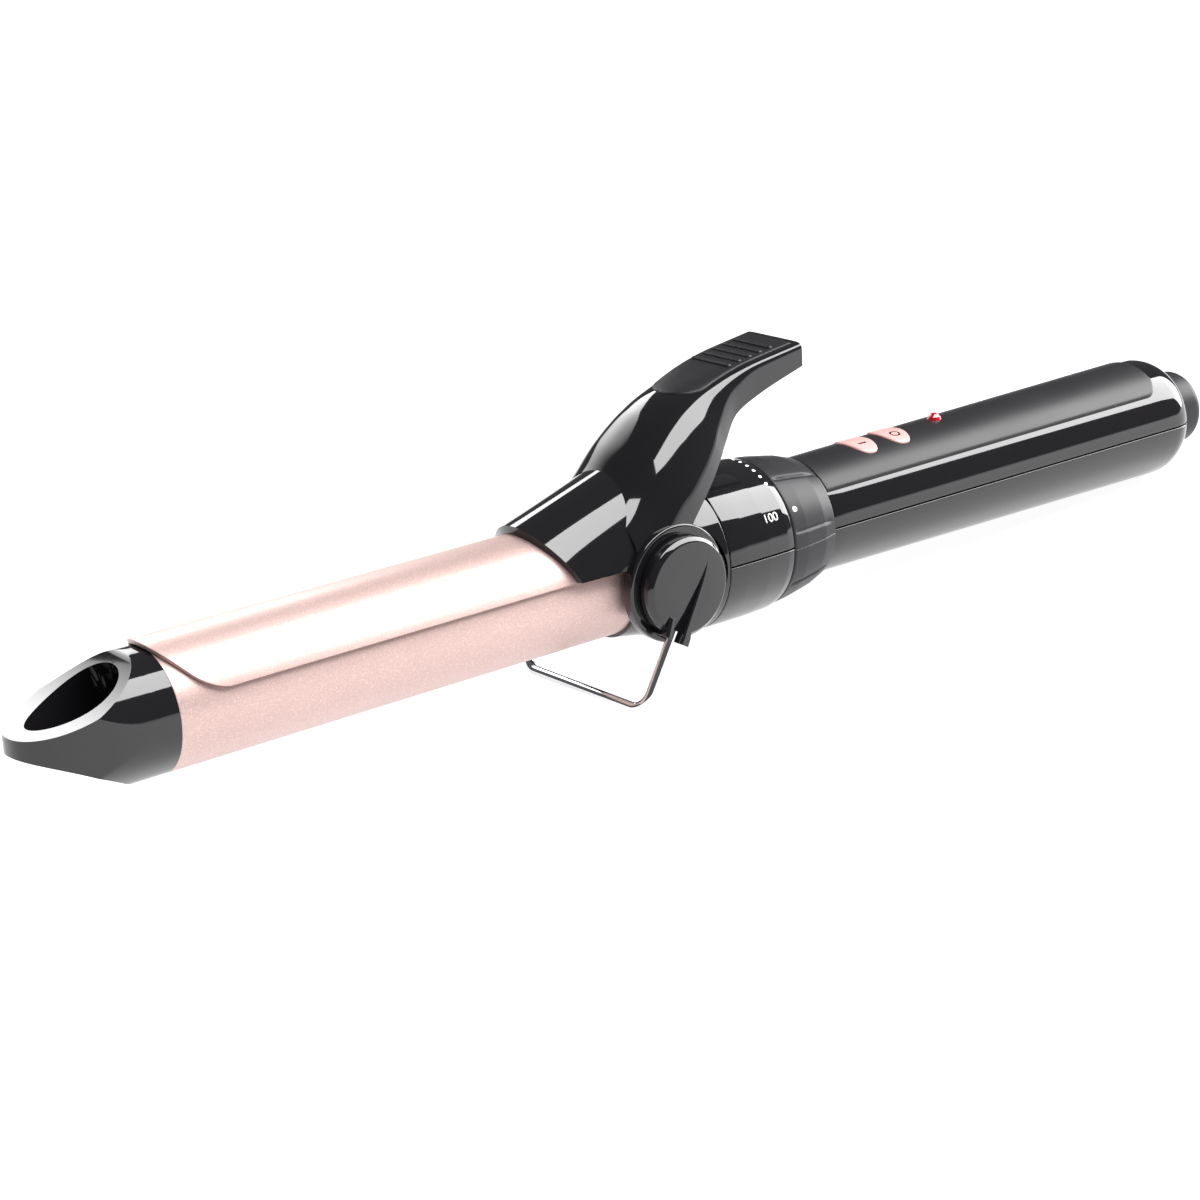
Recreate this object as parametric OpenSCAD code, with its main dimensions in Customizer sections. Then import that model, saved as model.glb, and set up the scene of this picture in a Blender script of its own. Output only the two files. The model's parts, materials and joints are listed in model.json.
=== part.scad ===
// Curling iron with a clip, a fold-out wire stand, a temperature dial and a swivel cord inlet.
//
// Every piece is drawn in the iron's own frame: the barrel's axis is X, the tip points to -X,
// +Z is up and the clip's pivot is the origin. resting() then tips the whole iron so that it
// stands on its wire stand and on the rear of its handle, with z = 0 on the table.

/* [Barrel and tip] */
// Outer diameter of the heated barrel
barrel_d = 25; // [22:0.5:28]
// Wall of the barrel tube
barrel_wall = 0.8; // [0.6:0.1:1.2]
// Length of barrel that shows between the tip cap and the collar
barrel_len = 108.3; // [80:0.1:150]
// Length of the tip cap in front of the barrel
tip_len = 29; // [26:0.1:32]
// Radius of the scooped curve of the tip's open rim
rim_scoop_r = 48; // [44:1:60]
// Radius of the scooped curve of the tip's underside
chin_scoop_r = 79; // [70:1:100]
// Length of straight cap between the barrel and the rim's high end
tip_straight = 3.6; // [3:0.1:6]
// Half length of the hollow in the tip, along the rim
hollow_half_len = 10; // [8:0.1:10.4]
// Half width of the hollow in the tip
hollow_half_w = 7; // [5:0.1:7.2]
// Floor left under the hollow
tip_floor = 1.8; // [1.2:0.1:3]

/* [Collar and handle] */
// Distance from the pivot forward to the collar's front edge
collar_front = 8; // [7:0.1:10]
// Distance from the pivot back to the collar's rear joint
collar_rear = 14; // [13.5:0.1:18]
// Outer radius of the scale housing
housing_r = 17; // [16.5:0.1:19]
// Length of the scale housing
housing_len = 18.3; // [16:0.1:24]
// Length of the gap that the dial fills
dial_len = 15; // [12:0.1:20]
// Radius of the dial's rear edge
dial_rear_r = 13.6; // [13:0.1:15]
// Number of grip grooves round the dial
dial_grooves = 12; // [6:1:18]
// Length of the grip behind the dial
grip_len = 117.8; // [110:0.1:140]
// Radius of the grip just behind the dial
grip_front_r = 12.8; // [12.4:0.1:13.6]
// Radius of the grip at its rear
grip_rear_r = 13.9; // [13:0.1:15]
// Radius that rounds the grip's rear shoulder
shoulder_r = 8; // [6:0.1:9]
// Wall of the handle shells
shell_wall = 2; // [1.6:0.1:2.4]
// Radius of the swivel knob
knob_r = 8.8; // [8.6:0.1:10]
// Length of the swivel knob behind the grip
knob_len = 7.1; // [6:0.1:12]
// Radius of the cord inlet in the knob
inlet_r = 3.5; // [3:0.1:4]

/* [Clip and lever] */
// Thickness of the clip blade
blade_t = 0.8; // [0.6:0.1:1]
// Radius of the blade's front outline, seen from above
blade_nose_r = 14; // [14:0.1:18]
// Angle that the blade covers to each side of its top
blade_reach = 69; // [60:1:75]
// Length of the saddle that covers the blade's rear
saddle_len = 20; // [18:0.1:26]
// Height of the thumb pad's rear end above the barrel's axis
pad_height = 41.6; // [40:0.1:46]
// Distance from the pivot back to the thumb pad's rear end
pad_back = 42.9; // [40:0.1:48]
// Width of the thumb pad
pad_w = 18; // [15:0.1:20]
// Radius of the ears round the pivot
ear_r = 12.5; // [11.5:0.1:12.8]
// Thickness of each ear
ear_t = 2.8; // [2.6:0.1:3.2]
// Number of ribs on the thumb pad
pad_ribs = 5; // [3:1:7]

/* [Stand] */
// Diameter of the stand's wire
wire_d = 2.5; // [2:0.1:3]
// Distance from the pivot to the stand's crossbar
stand_reach = 26.75; // [26:0.05:32]
// Lean of the stand's legs towards the tip
stand_lean = 30; // [20:1:35]
// Radius of the wire's two corners, along its middle
wire_bend_r = 4; // [3:0.1:6]
// Radius of the stand's hub discs
hub_r = 10.6; // [9.5:0.1:11.5]
// Thickness of the hub discs
hub_t = 3.5; // [3.3:0.1:4.5]
// Radius of the pivot pins
pin_r = 3; // [2.6:0.1:3.2]

/* [Controls] */
// Distance from the pivot to the on button
button_on_x = 66; // [64:0.1:68]
// Distance between the two buttons
button_pitch = 10; // [9.4:0.1:12]
// Size of a button along the handle
button_l = 6.8; // [6:0.1:8.6]
// Size of a button across the handle
button_w = 11.6; // [10:0.1:14.4]
// How far a button travels
button_travel = 0.8; // [0.4:0.1:0.8]
// Distance from the pivot to the indicator lens
lens_x = 90.5; // [88:0.1:94]
// Radius of the indicator lens
lens_r = 1.8; // [1.4:0.1:2.2]

/* [Fits] */
// Radial clearance of a shaft that turns in a hole
running_fit = 0.05; // [0.02:0.01:0.08]
// Gap between pieces that move past each other
moving_gap = 0.3; // [0.3:0.05:0.4]
// Gap round the buttons
button_gap = 0.15; // [0.1:0.05:0.3]

/* [Hidden] */

$fn = 96;
big = 100;

gloss_black = "#151416";
satin_black = "#2a292b";
rose_gold = "#e3bfb4";
bare_metal = "#b9bcc0";
brass_yellow = "#c9a24a";
board_green = "#1d5b38";
button_pink = "#dfa9a4";
wire_red = "#a33a32";

// Places along the barrel's axis
barrel_r = barrel_d / 2;
barrel_in_r = barrel_r - barrel_wall;
collar_x = -collar_front;
barrel_x = collar_x - barrel_len;
nose_x = barrel_x - tip_len;
rim_x = barrel_x - tip_straight;
barrel_seat = 3;
barrel_end_x = collar_x + barrel_seat;
housing_x = collar_rear;
housing_end_x = housing_x + housing_len;
grip_x = housing_end_x + dial_len;
grip_end_x = grip_x + grip_len;
shoulder_drop = grip_rear_r - knob_r - 0.2;
shoulder_run = shoulder_r * sin(acos(1 - shoulder_drop / shoulder_r));
shoulder_x = grip_end_x - shoulder_run;
knob_x = grip_end_x + moving_gap;
knob_end_x = knob_x + knob_len;
knob_edge_r = 2;

// Fits inside the barrel and collar
spigot_len = 7;
inside_fit = 0.1;
seat_wall = 0.7;
collar_front_r = barrel_r + seat_wall;
cavity_r = barrel_r - 2;
collar_face_y = barrel_r + seat_wall + 0.1;
spigot_wall = 4;

// Neck under the dial
neck_r = 11.5;
neck_wall = 2;
dial_front_r = housing_r - 0.6;
groove_w = 1.2;
groove_depth = 0.5;
track_x = housing_end_x + moving_gap + 0.5;
track_w = 2.5;
track_t = 0.3;
wiper_in_r = neck_r + track_t + 0.8;
wiper_out_r = wiper_in_r + 0.8;

// Pivot stack, outwards from the collar
ear_y = collar_face_y + moving_gap;
hub_y = ear_y + ear_t + moving_gap;
hub_face_y = hub_y + hub_t;
pin_depth = hub_t - 1;
pin_end_y = hub_y + pin_depth - moving_gap;
pin_head_r = 3.8;
pin_head_t = 1.5;
pin_head_y = cavity_r - 2.6;
pocket_r = ear_r + 0.7;
spring_wire_r = 0.3;
spring_turns = 2;
spring_mean_r = 5.2;
spring_pitch = 2.05 * spring_wire_r;
spring_pocket = (spring_turns + 1) * spring_pitch + 0.1;
spring_room = 1;

// Blade and lever
blade_in_r = barrel_r + moving_gap;
blade_out_r = blade_in_r + blade_t;
blade_x = barrel_x - 0.7;
blade_edge_z = blade_out_r * cos(blade_reach);
blade_end_x = collar_x - 4;
saddle_end_x = collar_x;
saddle_x = saddle_end_x - saddle_len;
saddle_front_r = blade_out_r + 1.4;
saddle_rear_r = blade_out_r + 3.4;
saddle_nose_r = 17.5;
arm_wall = 2.4;
arm_side_wall = 1.9;
arm_ear_half = ear_y + ear_t;
pad_half = pad_w / 2;
pad_t = 5.2;
pad_front_x = 14;
inlay_t = 0.6;
inlay_rise = 0.4;
inlay_half = pad_half - 2;
rib_r = 0.55;
rib_pitch = 3.4;
rivet_r = 1.6;
rivet_top = blade_out_r + 0.9;
rivet_xs = [saddle_x + 7, saddle_x + 14];

// Arm outline seen from the side, from the saddle up over the thumb pad and back down to the ear.
// The thumb pad's end moves with pad_back and pad_height, and the arm's rise follows it.
function lift(u) = pad_height * u / 41.6;
function back(u) = u > 0 ? pad_back * u / 42.9 : u;
arm_top = [
    [saddle_end_x, saddle_rear_r - 0.3], [back(-5.5), lift(19.6)], [back(0.1), lift(24.6)],
    [back(6.9), lift(30.6)], [back(11.5), lift(33.6)], [back(16.6), lift(36)],
    [back(24.8), lift(38.6)], [back(31.7), lift(40)], [pad_back, pad_height]
];
arm_under = [
    [pad_back, pad_height - pad_t], [back(24), lift(30)], [back(15.2), lift(22.2)],
    [3.9, 11.4], [3.9, 4], [-10, 4], [saddle_end_x - 2, 8.3]
];
arm_hollow_top = [
    [-30, 0], [-30, saddle_rear_r - arm_wall - 1.6], [saddle_end_x, saddle_rear_r - arm_wall - 0.8],
    [back(-4), lift(17.6)], [back(1.9), lift(22.6)], [back(8.3), lift(28.2)],
    [back(17.2), lift(33)], [back(22), lift(34)], [back(22), lift(10)], [back(22), 0]
];

// Stand
stand_half = hub_face_y - 0.2;
wire_r = wire_d / 2;
fin_rise = 2.2;
fin_top = 7;
prong_len = 13;
prong_slot = 3.2;
fin_left = 2.8;
fin_right = 3.6;

// Screws and posts: place along the handle and height of the head's seat
post_r = 2.8;
screw_r = 1.15;
screw_head_r = 2.2;
screw_head_t = 1.5;
screw_hole_gap = 0.15;
screw_top_z = 6;
screw_sink = 4;
screw_xs = [housing_x + 8, grip_x + 9, grip_end_x - 17];

// Electronics
board_x = button_on_x - 4.5;
board_len = 66;
board_half = 8.2;
board_z = 4;
board_t = 1.6;
board_top = board_z + board_t;
switch_w = 6;
switch_h = 3.5;
switch_top = board_top + switch_h;
lead_r = 0.9;
lead_y = 4;
lead_z = board_z - lead_r - 0.1;
spreader_r = barrel_in_r - inside_fit;
spreader_x = barrel_x + 14;
spreader_len = barrel_len - 44;
heater_t = 2.4;
heater_half = 6;
heater_len = spreader_len - 8;

// Soft-touch panel
panel_t = 1;
panel_rise = 0.3;
panel_x = grip_x + 0.3;
panel_end_x = grip_end_x - 10.5;
panel_front_half = 9.8;
panel_rear_half = 11;
panel_corner_r = 4.5;

// Swivel
end_wall = 3.2;
stem_r = 7;
retainer_r = 9.2;
retainer_t = 1.5;
stem_x = grip_end_x - end_wall - moving_gap - retainer_t;

// The iron stands on two round undersides: the crossbar and the grip's rear shoulder.
foot_x = -stand_reach * sin(stand_lean);
foot_z = -stand_reach * cos(stand_lean);
heel_x = shoulder_x;
heel_z = -(grip_rear_r - shoulder_r);
span = norm([heel_x - foot_x, heel_z - foot_z]);
rest_tilt = atan2(heel_z - foot_z, heel_x - foot_x) - asin((shoulder_r - wire_r) / span);
rest_drop = -foot_x * sin(rest_tilt) + foot_z * cos(rest_tilt) - wire_r;
chin_x = rim_x - 2.7;
rim_scoop_x = nose_x - 4.4;
chin_scoop_x = nose_x - 23.1;
rim_scoop_z = barrel_r + sqrt(pow(rim_scoop_r, 2) - pow(rim_x - rim_scoop_x, 2));
chin_scoop_z = -barrel_r - sqrt(pow(chin_scoop_r, 2) - pow(chin_x - chin_scoop_x, 2));
nose_low_z = chin_scoop_z + sqrt(pow(chin_scoop_r, 2) - pow(nose_x - chin_scoop_x, 2));
nose_high_z = rim_scoop_z - sqrt(pow(rim_scoop_r, 2) - pow(nose_x - rim_scoop_x, 2));
rim_slope = atan2(barrel_r - nose_high_z, rim_x - nose_x);
box_min_x = nose_x * cos(rest_tilt) + nose_low_z * sin(rest_tilt);
box_max_x = (knob_end_x - knob_edge_r) * cos(rest_tilt)
    + (knob_r - knob_edge_r) * sin(rest_tilt) + knob_edge_r;
box_mid_x = (box_min_x + box_max_x) / 2;

// ---- helpers ----

// Puts the iron on the table, with the origin under the middle of its box.
module resting() {
    translate([-box_mid_x, 0, -rest_drop])
        rotate([0, rest_tilt, 0])
            children();
}

// A solid turned about the barrel's axis from points given as [x, radius].
module turned(outline) {
    rotate([0, 90, 0])
        rotate_extrude()
            polygon([for (p = outline) [p[1], p[0]]]);
}

// A round bar along X.
module bar_x(from, to, r) {
    translate([from, 0, 0])
        rotate([0, 90, 0])
            cylinder(h = to - from, r = r);
}

// A round bar along Y, on the side that `side` gives (1 far, -1 near).
module bar_y(side, from, to, r) {
    translate([0, side > 0 ? from : -to, 0])
        rotate([-90, 0, 0])
            cylinder(h = to - from, r = r);
}

// A side outline, points [x, z], extruded across the iron between two places on Y.
module side_plate(outline, from, to) {
    translate([0, to, 0])
        rotate([90, 0, 0])
            linear_extrude(height = to - from)
                polygon(outline);
}

// A block from its two corners.
module block(low, high) {
    translate(low)
        cube(high - low);
}

// Egg outline round the origin, with its blunt end towards +X.
function egg(half_len, half_w, skew) = [
    for (t = [0 : 10 : 350]) [half_len * cos(t), half_w * sin(t) * (1 + skew * cos(t))]
];

// Oval outline of a button with a gap round it.
function oval(gap) = [
    for (t = [0 : 10 : 350]) [
        (button_l / 2 + gap) * sign(cos(t)) * pow(abs(cos(t)), 0.8),
        (button_w / 2 + gap) * sin(t)
    ]
];

// Radius of the grip at a place along it.
function grip_r(x) = grip_front_r
    + (grip_rear_r - grip_front_r) * min(1, max(0, (x - grip_x) / (shoulder_x - grip_x)));

// Rounded rear shoulder of the grip, offset inwards.
function shoulder(inset) = [
    for (a = [0 : 6 : acos(1 - shoulder_drop / shoulder_r)]) [
        shoulder_x + (shoulder_r - inset) * sin(a),
        grip_rear_r - shoulder_r + (shoulder_r - inset) * cos(a)
    ]
];

// Outside of the two handle shells together.
shell_outline = concat(
    [
        [housing_x, 0], [housing_x, housing_r - 0.1], [housing_x + 5, housing_r],
        [housing_x + 11, housing_r], [housing_end_x - 1.8, housing_r - 0.2],
        [housing_end_x, housing_r - 0.5], [housing_end_x, neck_r], [grip_x, neck_r],
        [grip_x, grip_front_r]
    ],
    shoulder(0),
    [[grip_end_x, knob_r + 0.2], [grip_end_x, 0]]
);

// Hollow inside the two handle shells together.
cavity_end_x = grip_end_x - end_wall;
shell_hollow = [
    [housing_x - 1, 0], [housing_x - 1, housing_r - shell_wall],
    [housing_end_x - shell_wall, housing_r - shell_wall],
    [housing_end_x - shell_wall, neck_r - neck_wall],
    [grip_x + shell_wall, neck_r - neck_wall],
    [grip_x + shell_wall, grip_front_r - shell_wall],
    [shoulder_x, grip_rear_r - shell_wall],
    [cavity_end_x, grip_rear_r - shell_wall - 1], [cavity_end_x, 0]
];

// A helical wire: rings of points swept round the helix, closed at both ends.
module coil(turns, mean_r, wire, pitch) {
    steps = 20;
    sides = 8;
    rings = turns * steps;
    points = [
        for (i = [0 : rings], j = [0 : sides - 1])
            let (
                a = 360 * i / steps,
                b = 360 * j / sides,
                r = mean_r + wire * cos(b)
            )
            [r * cos(a), r * sin(a), pitch * i / steps + wire * sin(b)]
    ];
    sleeve = [
        for (i = [0 : rings - 1], j = [0 : sides - 1])
            let (k = (j + 1) % sides)
            [i * sides + j, i * sides + k, (i + 1) * sides + k, (i + 1) * sides + j]
    ];
    first = [[for (j = [0 : sides - 1]) sides - 1 - j]];
    last = [[for (j = [0 : sides - 1]) rings * sides + j]];
    polyhedron(points, concat(sleeve, first, last));
}

// ---- barrel and heater ----

module barrel_tube() {
    resting() color(rose_gold) difference() {
        bar_x(barrel_x, barrel_end_x, barrel_r);
        bar_x(barrel_x - 1, barrel_end_x + 1, barrel_in_r);
    }
}

// Plan of the tip: straight sides that close in a half ellipse at the nose.
module tip_plan() {
    wide_x = rim_x - 1.5;
    nose = [
        for (t = [90 : -6 : -90])
            [wide_x - (wide_x - nose_x) * cos(t), barrel_r * pow(abs(sin(t)), 0.9) * sign(sin(t))]
    ];
    translate([0, 0, -big / 2])
        linear_extrude(height = big)
            polygon(concat([[barrel_x, -barrel_r], [barrel_x, barrel_r]], nose));
}

// Round bar across the iron that scoops out the tip's rim or its underside.
module scoop(x, z, r) {
    translate([x, 0, z])
        rotate([90, 0, 0])
            cylinder(h = 2 * big, r = r, center = true);
}

module tip_cap() {
    rim_len = (rim_x - nose_x) / cos(rim_slope);
    resting() color(gloss_black) difference() {
        union() {
            intersection() {
                bar_x(nose_x, barrel_x, barrel_r);
                tip_plan();
            }
            bar_x(barrel_x - 1, barrel_x + spigot_len, barrel_in_r);
        }
        bar_x(barrel_x + 1.5, barrel_x + spigot_len + 1, barrel_in_r - 2);
        scoop(rim_scoop_x, rim_scoop_z, rim_scoop_r);
        scoop(chin_scoop_x, chin_scoop_z, chin_scoop_r);
        difference() {
            translate([rim_x, 0, barrel_r])
                rotate([0, -rim_slope, 0])
                    translate([-rim_len / 2 + 0.4, 0, -barrel_r])
                        linear_extrude(height = big)
                            polygon(egg(hollow_half_len, hollow_half_w, 0.22));
            scoop(chin_scoop_x, chin_scoop_z, chin_scoop_r + tip_floor);
        }
    }
}

// Half of the aluminium clamp that presses the heater and fills the barrel.
module heat_spreader(up) {
    intersection() {
        difference() {
            bar_x(spreader_x, spreader_x + spreader_len, spreader_r);
            block(
                [spreader_x - 1, -heater_half - 0.3, -heater_t / 2],
                [spreader_x + spreader_len + 1, heater_half + 0.3, heater_t / 2]
            );
        }
        block(
            [spreader_x - 1, -barrel_r, up ? 0.3 : -barrel_r],
            [spreader_x + spreader_len + 1, barrel_r, up ? barrel_r : -0.3]
        );
    }
}

module heat_spreader_upper() {
    resting() color(bare_metal) heat_spreader(true);
}

module heat_spreader_lower() {
    resting() color(bare_metal) heat_spreader(false);
}

module ptc_heater() {
    start = spreader_x + 4;
    resting() color("#d8cfc4")
        block(
            [start, -heater_half, -heater_t / 2],
            [start + heater_len, heater_half, heater_t / 2]
        );
}

module thermal_fuse() {
    start = spreader_x + spreader_len + 3;
    resting() color(bare_metal)
        translate([0, 0, -6])
            bar_x(start, start + 11, 2);
}

// Heat-resistant plug that closes the barrel and passes the two leads.
module barrel_insulator() {
    resting() color("#cdbfa5") difference() {
        union() {
            bar_x(barrel_end_x - 7, barrel_end_x, barrel_in_r - inside_fit);
            bar_x(barrel_end_x, barrel_end_x + 0.5, barrel_r - inside_fit);
        }
        for (side = [-1, 1])
            translate([0, side * lead_y, lead_z])
                bar_x(barrel_end_x - 8, barrel_end_x + 1, lead_r + inside_fit);
    }
}

module heater_leads() {
    start = spreader_x + spreader_len + 2;
    resting() color(wire_red)
        for (side = [-1, 1])
            translate([0, side * lead_y, lead_z])
                bar_x(start, board_x + 3, lead_r);
}

// ---- collar and pivots ----

module front_collar() {
    resting() color(gloss_black) difference() {
        union() {
            turned([
                [collar_x, 0], [collar_x, collar_front_r - 0.4], [collar_x + 0.6, collar_front_r],
                [collar_x + 6, collar_front_r + 0.9], [collar_x + 11, housing_r - 1.7],
                [collar_x + 16.5, housing_r - 0.7], [housing_x, housing_r - 0.1], [housing_x, 0]
            ]);
            bar_x(housing_x - 1, housing_x + spigot_wall, housing_r - shell_wall - inside_fit);
        }
        bar_x(collar_x - 1, barrel_end_x + 0.5, barrel_r);
        bar_x(barrel_end_x - 0.1, housing_x + spigot_wall + 1, cavity_r);
        for (side = [-1, 1]) {
            bar_y(side, collar_face_y, big, pocket_r);
            bar_y(side, 0, big, pin_r);
            // Hole for the spring's fixed leg
            translate([spring_mean_r, 0, 0])
                bar_y(side, collar_face_y - 1.2, big, spring_wire_r + 0.1);
        }
    }
}

module pivot_pins() {
    resting() color(bare_metal)
        for (side = [-1, 1]) {
            bar_y(side, pin_head_y, pin_head_y + pin_head_t, pin_head_r);
            bar_y(side, pin_head_y, pin_end_y, pin_r);
        }
}

// Torsion springs that close the clip. Each coil lies round its pin in a pocket of the ear,
// and its fixed leg goes into the collar.
module lever_springs() {
    coil_y = collar_face_y + spring_wire_r + 0.15;
    resting() color(bare_metal)
        for (side = [-1, 1]) {
            translate([0, side * coil_y, 0])
                rotate([side > 0 ? -90 : 90, 0, 0])
                    coil(spring_turns, spring_mean_r, spring_wire_r, spring_pitch);
            translate([spring_mean_r, 0, 0])
                bar_y(side, collar_face_y - 1, coil_y, spring_wire_r);
        }
}

// ---- clip ----

module clip_blade() {
    resting() color(rose_gold) difference() {
        intersection() {
            bar_x(blade_x, blade_end_x, blade_out_r);
            union() {
                translate([blade_x + blade_nose_r, 0, 0])
                    cylinder(h = big, r = blade_nose_r);
                block([blade_x + blade_nose_r, -big, 0], [blade_end_x, big, big]);
            }
            block([blade_x, -big, blade_edge_z], [blade_end_x, big, big]);
        }
        bar_x(blade_x - 1, blade_end_x + 1, blade_in_r);
        for (x = rivet_xs)
            translate([x, 0, 0])
                cylinder(h = big, r = rivet_r);
    }
}

// Saddle: a flaring half sleeve over the blade's rear.
module saddle() {
    low_front = blade_edge_z + 0.6;
    intersection() {
        difference() {
            turned([
                [saddle_x, 0], [saddle_x, saddle_front_r - 0.5], [saddle_x + 0.6, saddle_front_r],
                [saddle_end_x, saddle_rear_r], [saddle_end_x, 0]
            ]);
            bar_x(saddle_x - 1, saddle_end_x + 1, blade_out_r);
        }
        side_plate(
            [
                [saddle_x, low_front], [saddle_end_x - 2, 8.3], [saddle_end_x, 8.3],
                [saddle_end_x, big], [saddle_x, big]
            ],
            -big, big
        );
        union() {
            translate([saddle_x + saddle_nose_r, 0, 0])
                cylinder(h = big, r = saddle_nose_r);
            block([saddle_x + saddle_nose_r, -big, 0], [saddle_end_x, big, big]);
        }
    }
}

// Front outline of the arm, points [y, z], `inset` inside its skin.
module arm_front(inset) {
    half = arm_ear_half - inset;
    top = pad_half - inset;
    translate([-big / 2, 0, 0])
        rotate([90, 0, 90])
            linear_extrude(height = big * 2)
                polygon([
                    [-half, -1], [half, -1], [half, 10.5], [top, 31], [top, big],
                    [-top, big], [-top, 31], [-half, 10.5]
                ]);
}

// Outline of the inlay seen from above, with a half round front.
module inlay_plan(gap) {
    r = inlay_half + gap;
    translate([pad_front_x + inlay_half, 0, 0]) {
        cylinder(h = big, r = r);
        block([0, -r, 0], [pad_back - 1.2 + gap - pad_front_x - inlay_half, r, big]);
    }
}

// The arm's top skin between two depths below it.
module arm_skin(above, below) {
    n = len(arm_top);
    side_plate(
        concat(
            [for (p = arm_top) p + [0, above]],
            [for (i = [n - 1 : -1 : 0]) arm_top[i] - [0, below]]
        ),
        -big, big
    );
}

module clip_lever() {
    resting() color(gloss_black) difference() {
        union() {
            saddle();
            difference() {
                intersection() {
                    side_plate(concat(arm_top, arm_under), -big, big);
                    arm_front(0);
                }
                intersection() {
                    side_plate(arm_hollow_top, -big, big);
                    arm_front(arm_side_wall);
                }
            }
            for (side = [-1, 1])
                bar_y(side, ear_y, ear_y + ear_t, ear_r);
        }
        intersection() {
            arm_skin(1, inlay_t);
            inlay_plan(0);
        }
        for (side = [-1, 1]) {
            bar_y(side, 0, big, pin_r + running_fit);
            bar_y(side, 0, ear_y + spring_pocket, spring_mean_r + spring_wire_r + spring_room);
        }
        // Room for the blade and for the collar that turns past the arm
        bar_x(saddle_x - 1, collar_x + 1, blade_out_r);
        for (x = rivet_xs)
            translate([x, 0, 0])
                cylinder(h = rivet_top, r = rivet_r);
    }
}

module thumb_pad() {
    rib_x = pad_back - 6 - (pad_ribs - 1) * rib_pitch;
    resting() color(satin_black) {
        intersection() {
            arm_skin(inlay_rise, inlay_t);
            inlay_plan(-0.05);
        }
        for (i = [0 : pad_ribs - 1]) {
            x = rib_x + i * rib_pitch;
            translate([x, 0, lookup(x, arm_top) + inlay_rise])
                rotate([90, 0, 0])
                    cylinder(h = inlay_half * 1.4, r = rib_r, center = true);
        }
    }
}

module clip_rivets() {
    resting() color(bare_metal)
        for (x = rivet_xs)
            translate([x, 0, blade_in_r])
                cylinder(h = rivet_top - blade_in_r, r = rivet_r);
}

// ---- stand ----

module stand_wire() {
    straight = stand_half - wire_bend_r;
    resting() color(bare_metal) rotate([0, stand_lean, 0]) {
        translate([0, -straight, -stand_reach])
            rotate([-90, 0, 0])
                cylinder(h = 2 * straight, r = wire_r);
        for (side = [-1, 1]) {
            translate([0, side * stand_half, -stand_reach + wire_bend_r])
                cylinder(h = stand_reach - wire_bend_r - 5, r = wire_r);
            translate([0, side * straight, -stand_reach + wire_bend_r])
                rotate([0, 90, 0])
                    rotate([0, 0, side > 0 ? 0 : -90])
                        rotate_extrude(angle = 90)
                            translate([wire_bend_r, 0])
                                circle(r = wire_r, $fn = 32);
        }
    }
}

// A hub: a disc with a wedge fin that thickens towards two prongs, one each side of the wire.
module stand_hub(side) {
    tip_y = hub_face_y + fin_rise;
    rotate([0, stand_lean, 0]) difference() {
        union() {
            bar_y(side, hub_y, hub_face_y - 0.6, hub_r);
            bar_y(side, hub_face_y - 0.7, hub_face_y, hub_r - 0.6);
            mirror([0, side > 0 ? 0 : 1, 0])
                translate([-fin_left, 0, 0])
                    rotate([90, 0, 90])
                        linear_extrude(height = fin_left + fin_right)
                            polygon([
                                [hub_y, -prong_len], [tip_y, -prong_len],
                                [tip_y, -prong_len + 5], [hub_face_y - 0.5, fin_top],
                                [hub_y, fin_top]
                            ]);
        }
        translate([0, side * stand_half, -prong_len - 1])
            cylinder(h = prong_len - 4, r = wire_r);
        block(
            [-wire_r, side > 0 ? stand_half : -big, -prong_len - 1],
            [wire_r, side > 0 ? big : -stand_half, -prong_len + prong_slot]
        );
        bar_y(side, 0, hub_y + pin_depth, pin_r + running_fit);
    }
}

module stand_hub_near() {
    resting() color(gloss_black) stand_hub(-1);
}

module stand_hub_far() {
    resting() color(gloss_black) stand_hub(1);
}

// ---- handle ----

// Plan of the soft-touch panel: it widens to the rear and its rear corners are round.
module panel_plan(gap) {
    c = panel_corner_r;
    front = panel_front_half + gap;
    rear = panel_rear_half + gap;
    end = panel_end_x + gap;
    corner = [for (t = [90 : -15 : 0]) [end - c + c * cos(t), rear - c + c * sin(t)]];
    other = [for (t = [0 : -15 : -90]) [end - c + c * cos(t), -rear + c + c * sin(t)]];
    linear_extrude(height = big)
        polygon(concat([[panel_x - gap, front]], corner, other, [[panel_x - gap, -front]]));
}

// A skin over the grip between two offsets from its surface.
module grip_skin(low, high) {
    difference() {
        turned([
            [panel_x - 5, 0], [panel_x - 5, grip_r(panel_x - 5) + high],
            [grip_x, grip_front_r + high], [shoulder_x, grip_rear_r + high], [shoulder_x, 0]
        ]);
        turned([
            [panel_x - 6, 0], [panel_x - 6, grip_r(panel_x - 6) + low],
            [grip_x, grip_front_r + low], [shoulder_x + 1, grip_rear_r + low],
            [shoulder_x + 1, 0]
        ]);
    }
}

module button_hole(x, gap) {
    translate([x, 0, 0])
        linear_extrude(height = big)
            polygon(oval(gap));
}

// Everything both shells share, before they are parted.
module shell_body() {
    difference() {
        turned(shell_outline);
        turned(shell_hollow);
        bar_x(cavity_end_x - 1, grip_end_x + 1, stem_r + running_fit);
    }
}

// Height of the seat of a screw's head below the axis.
function screw_seat(x) = -(x < housing_end_x ? housing_r : grip_r(x)) + screw_sink;

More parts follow.
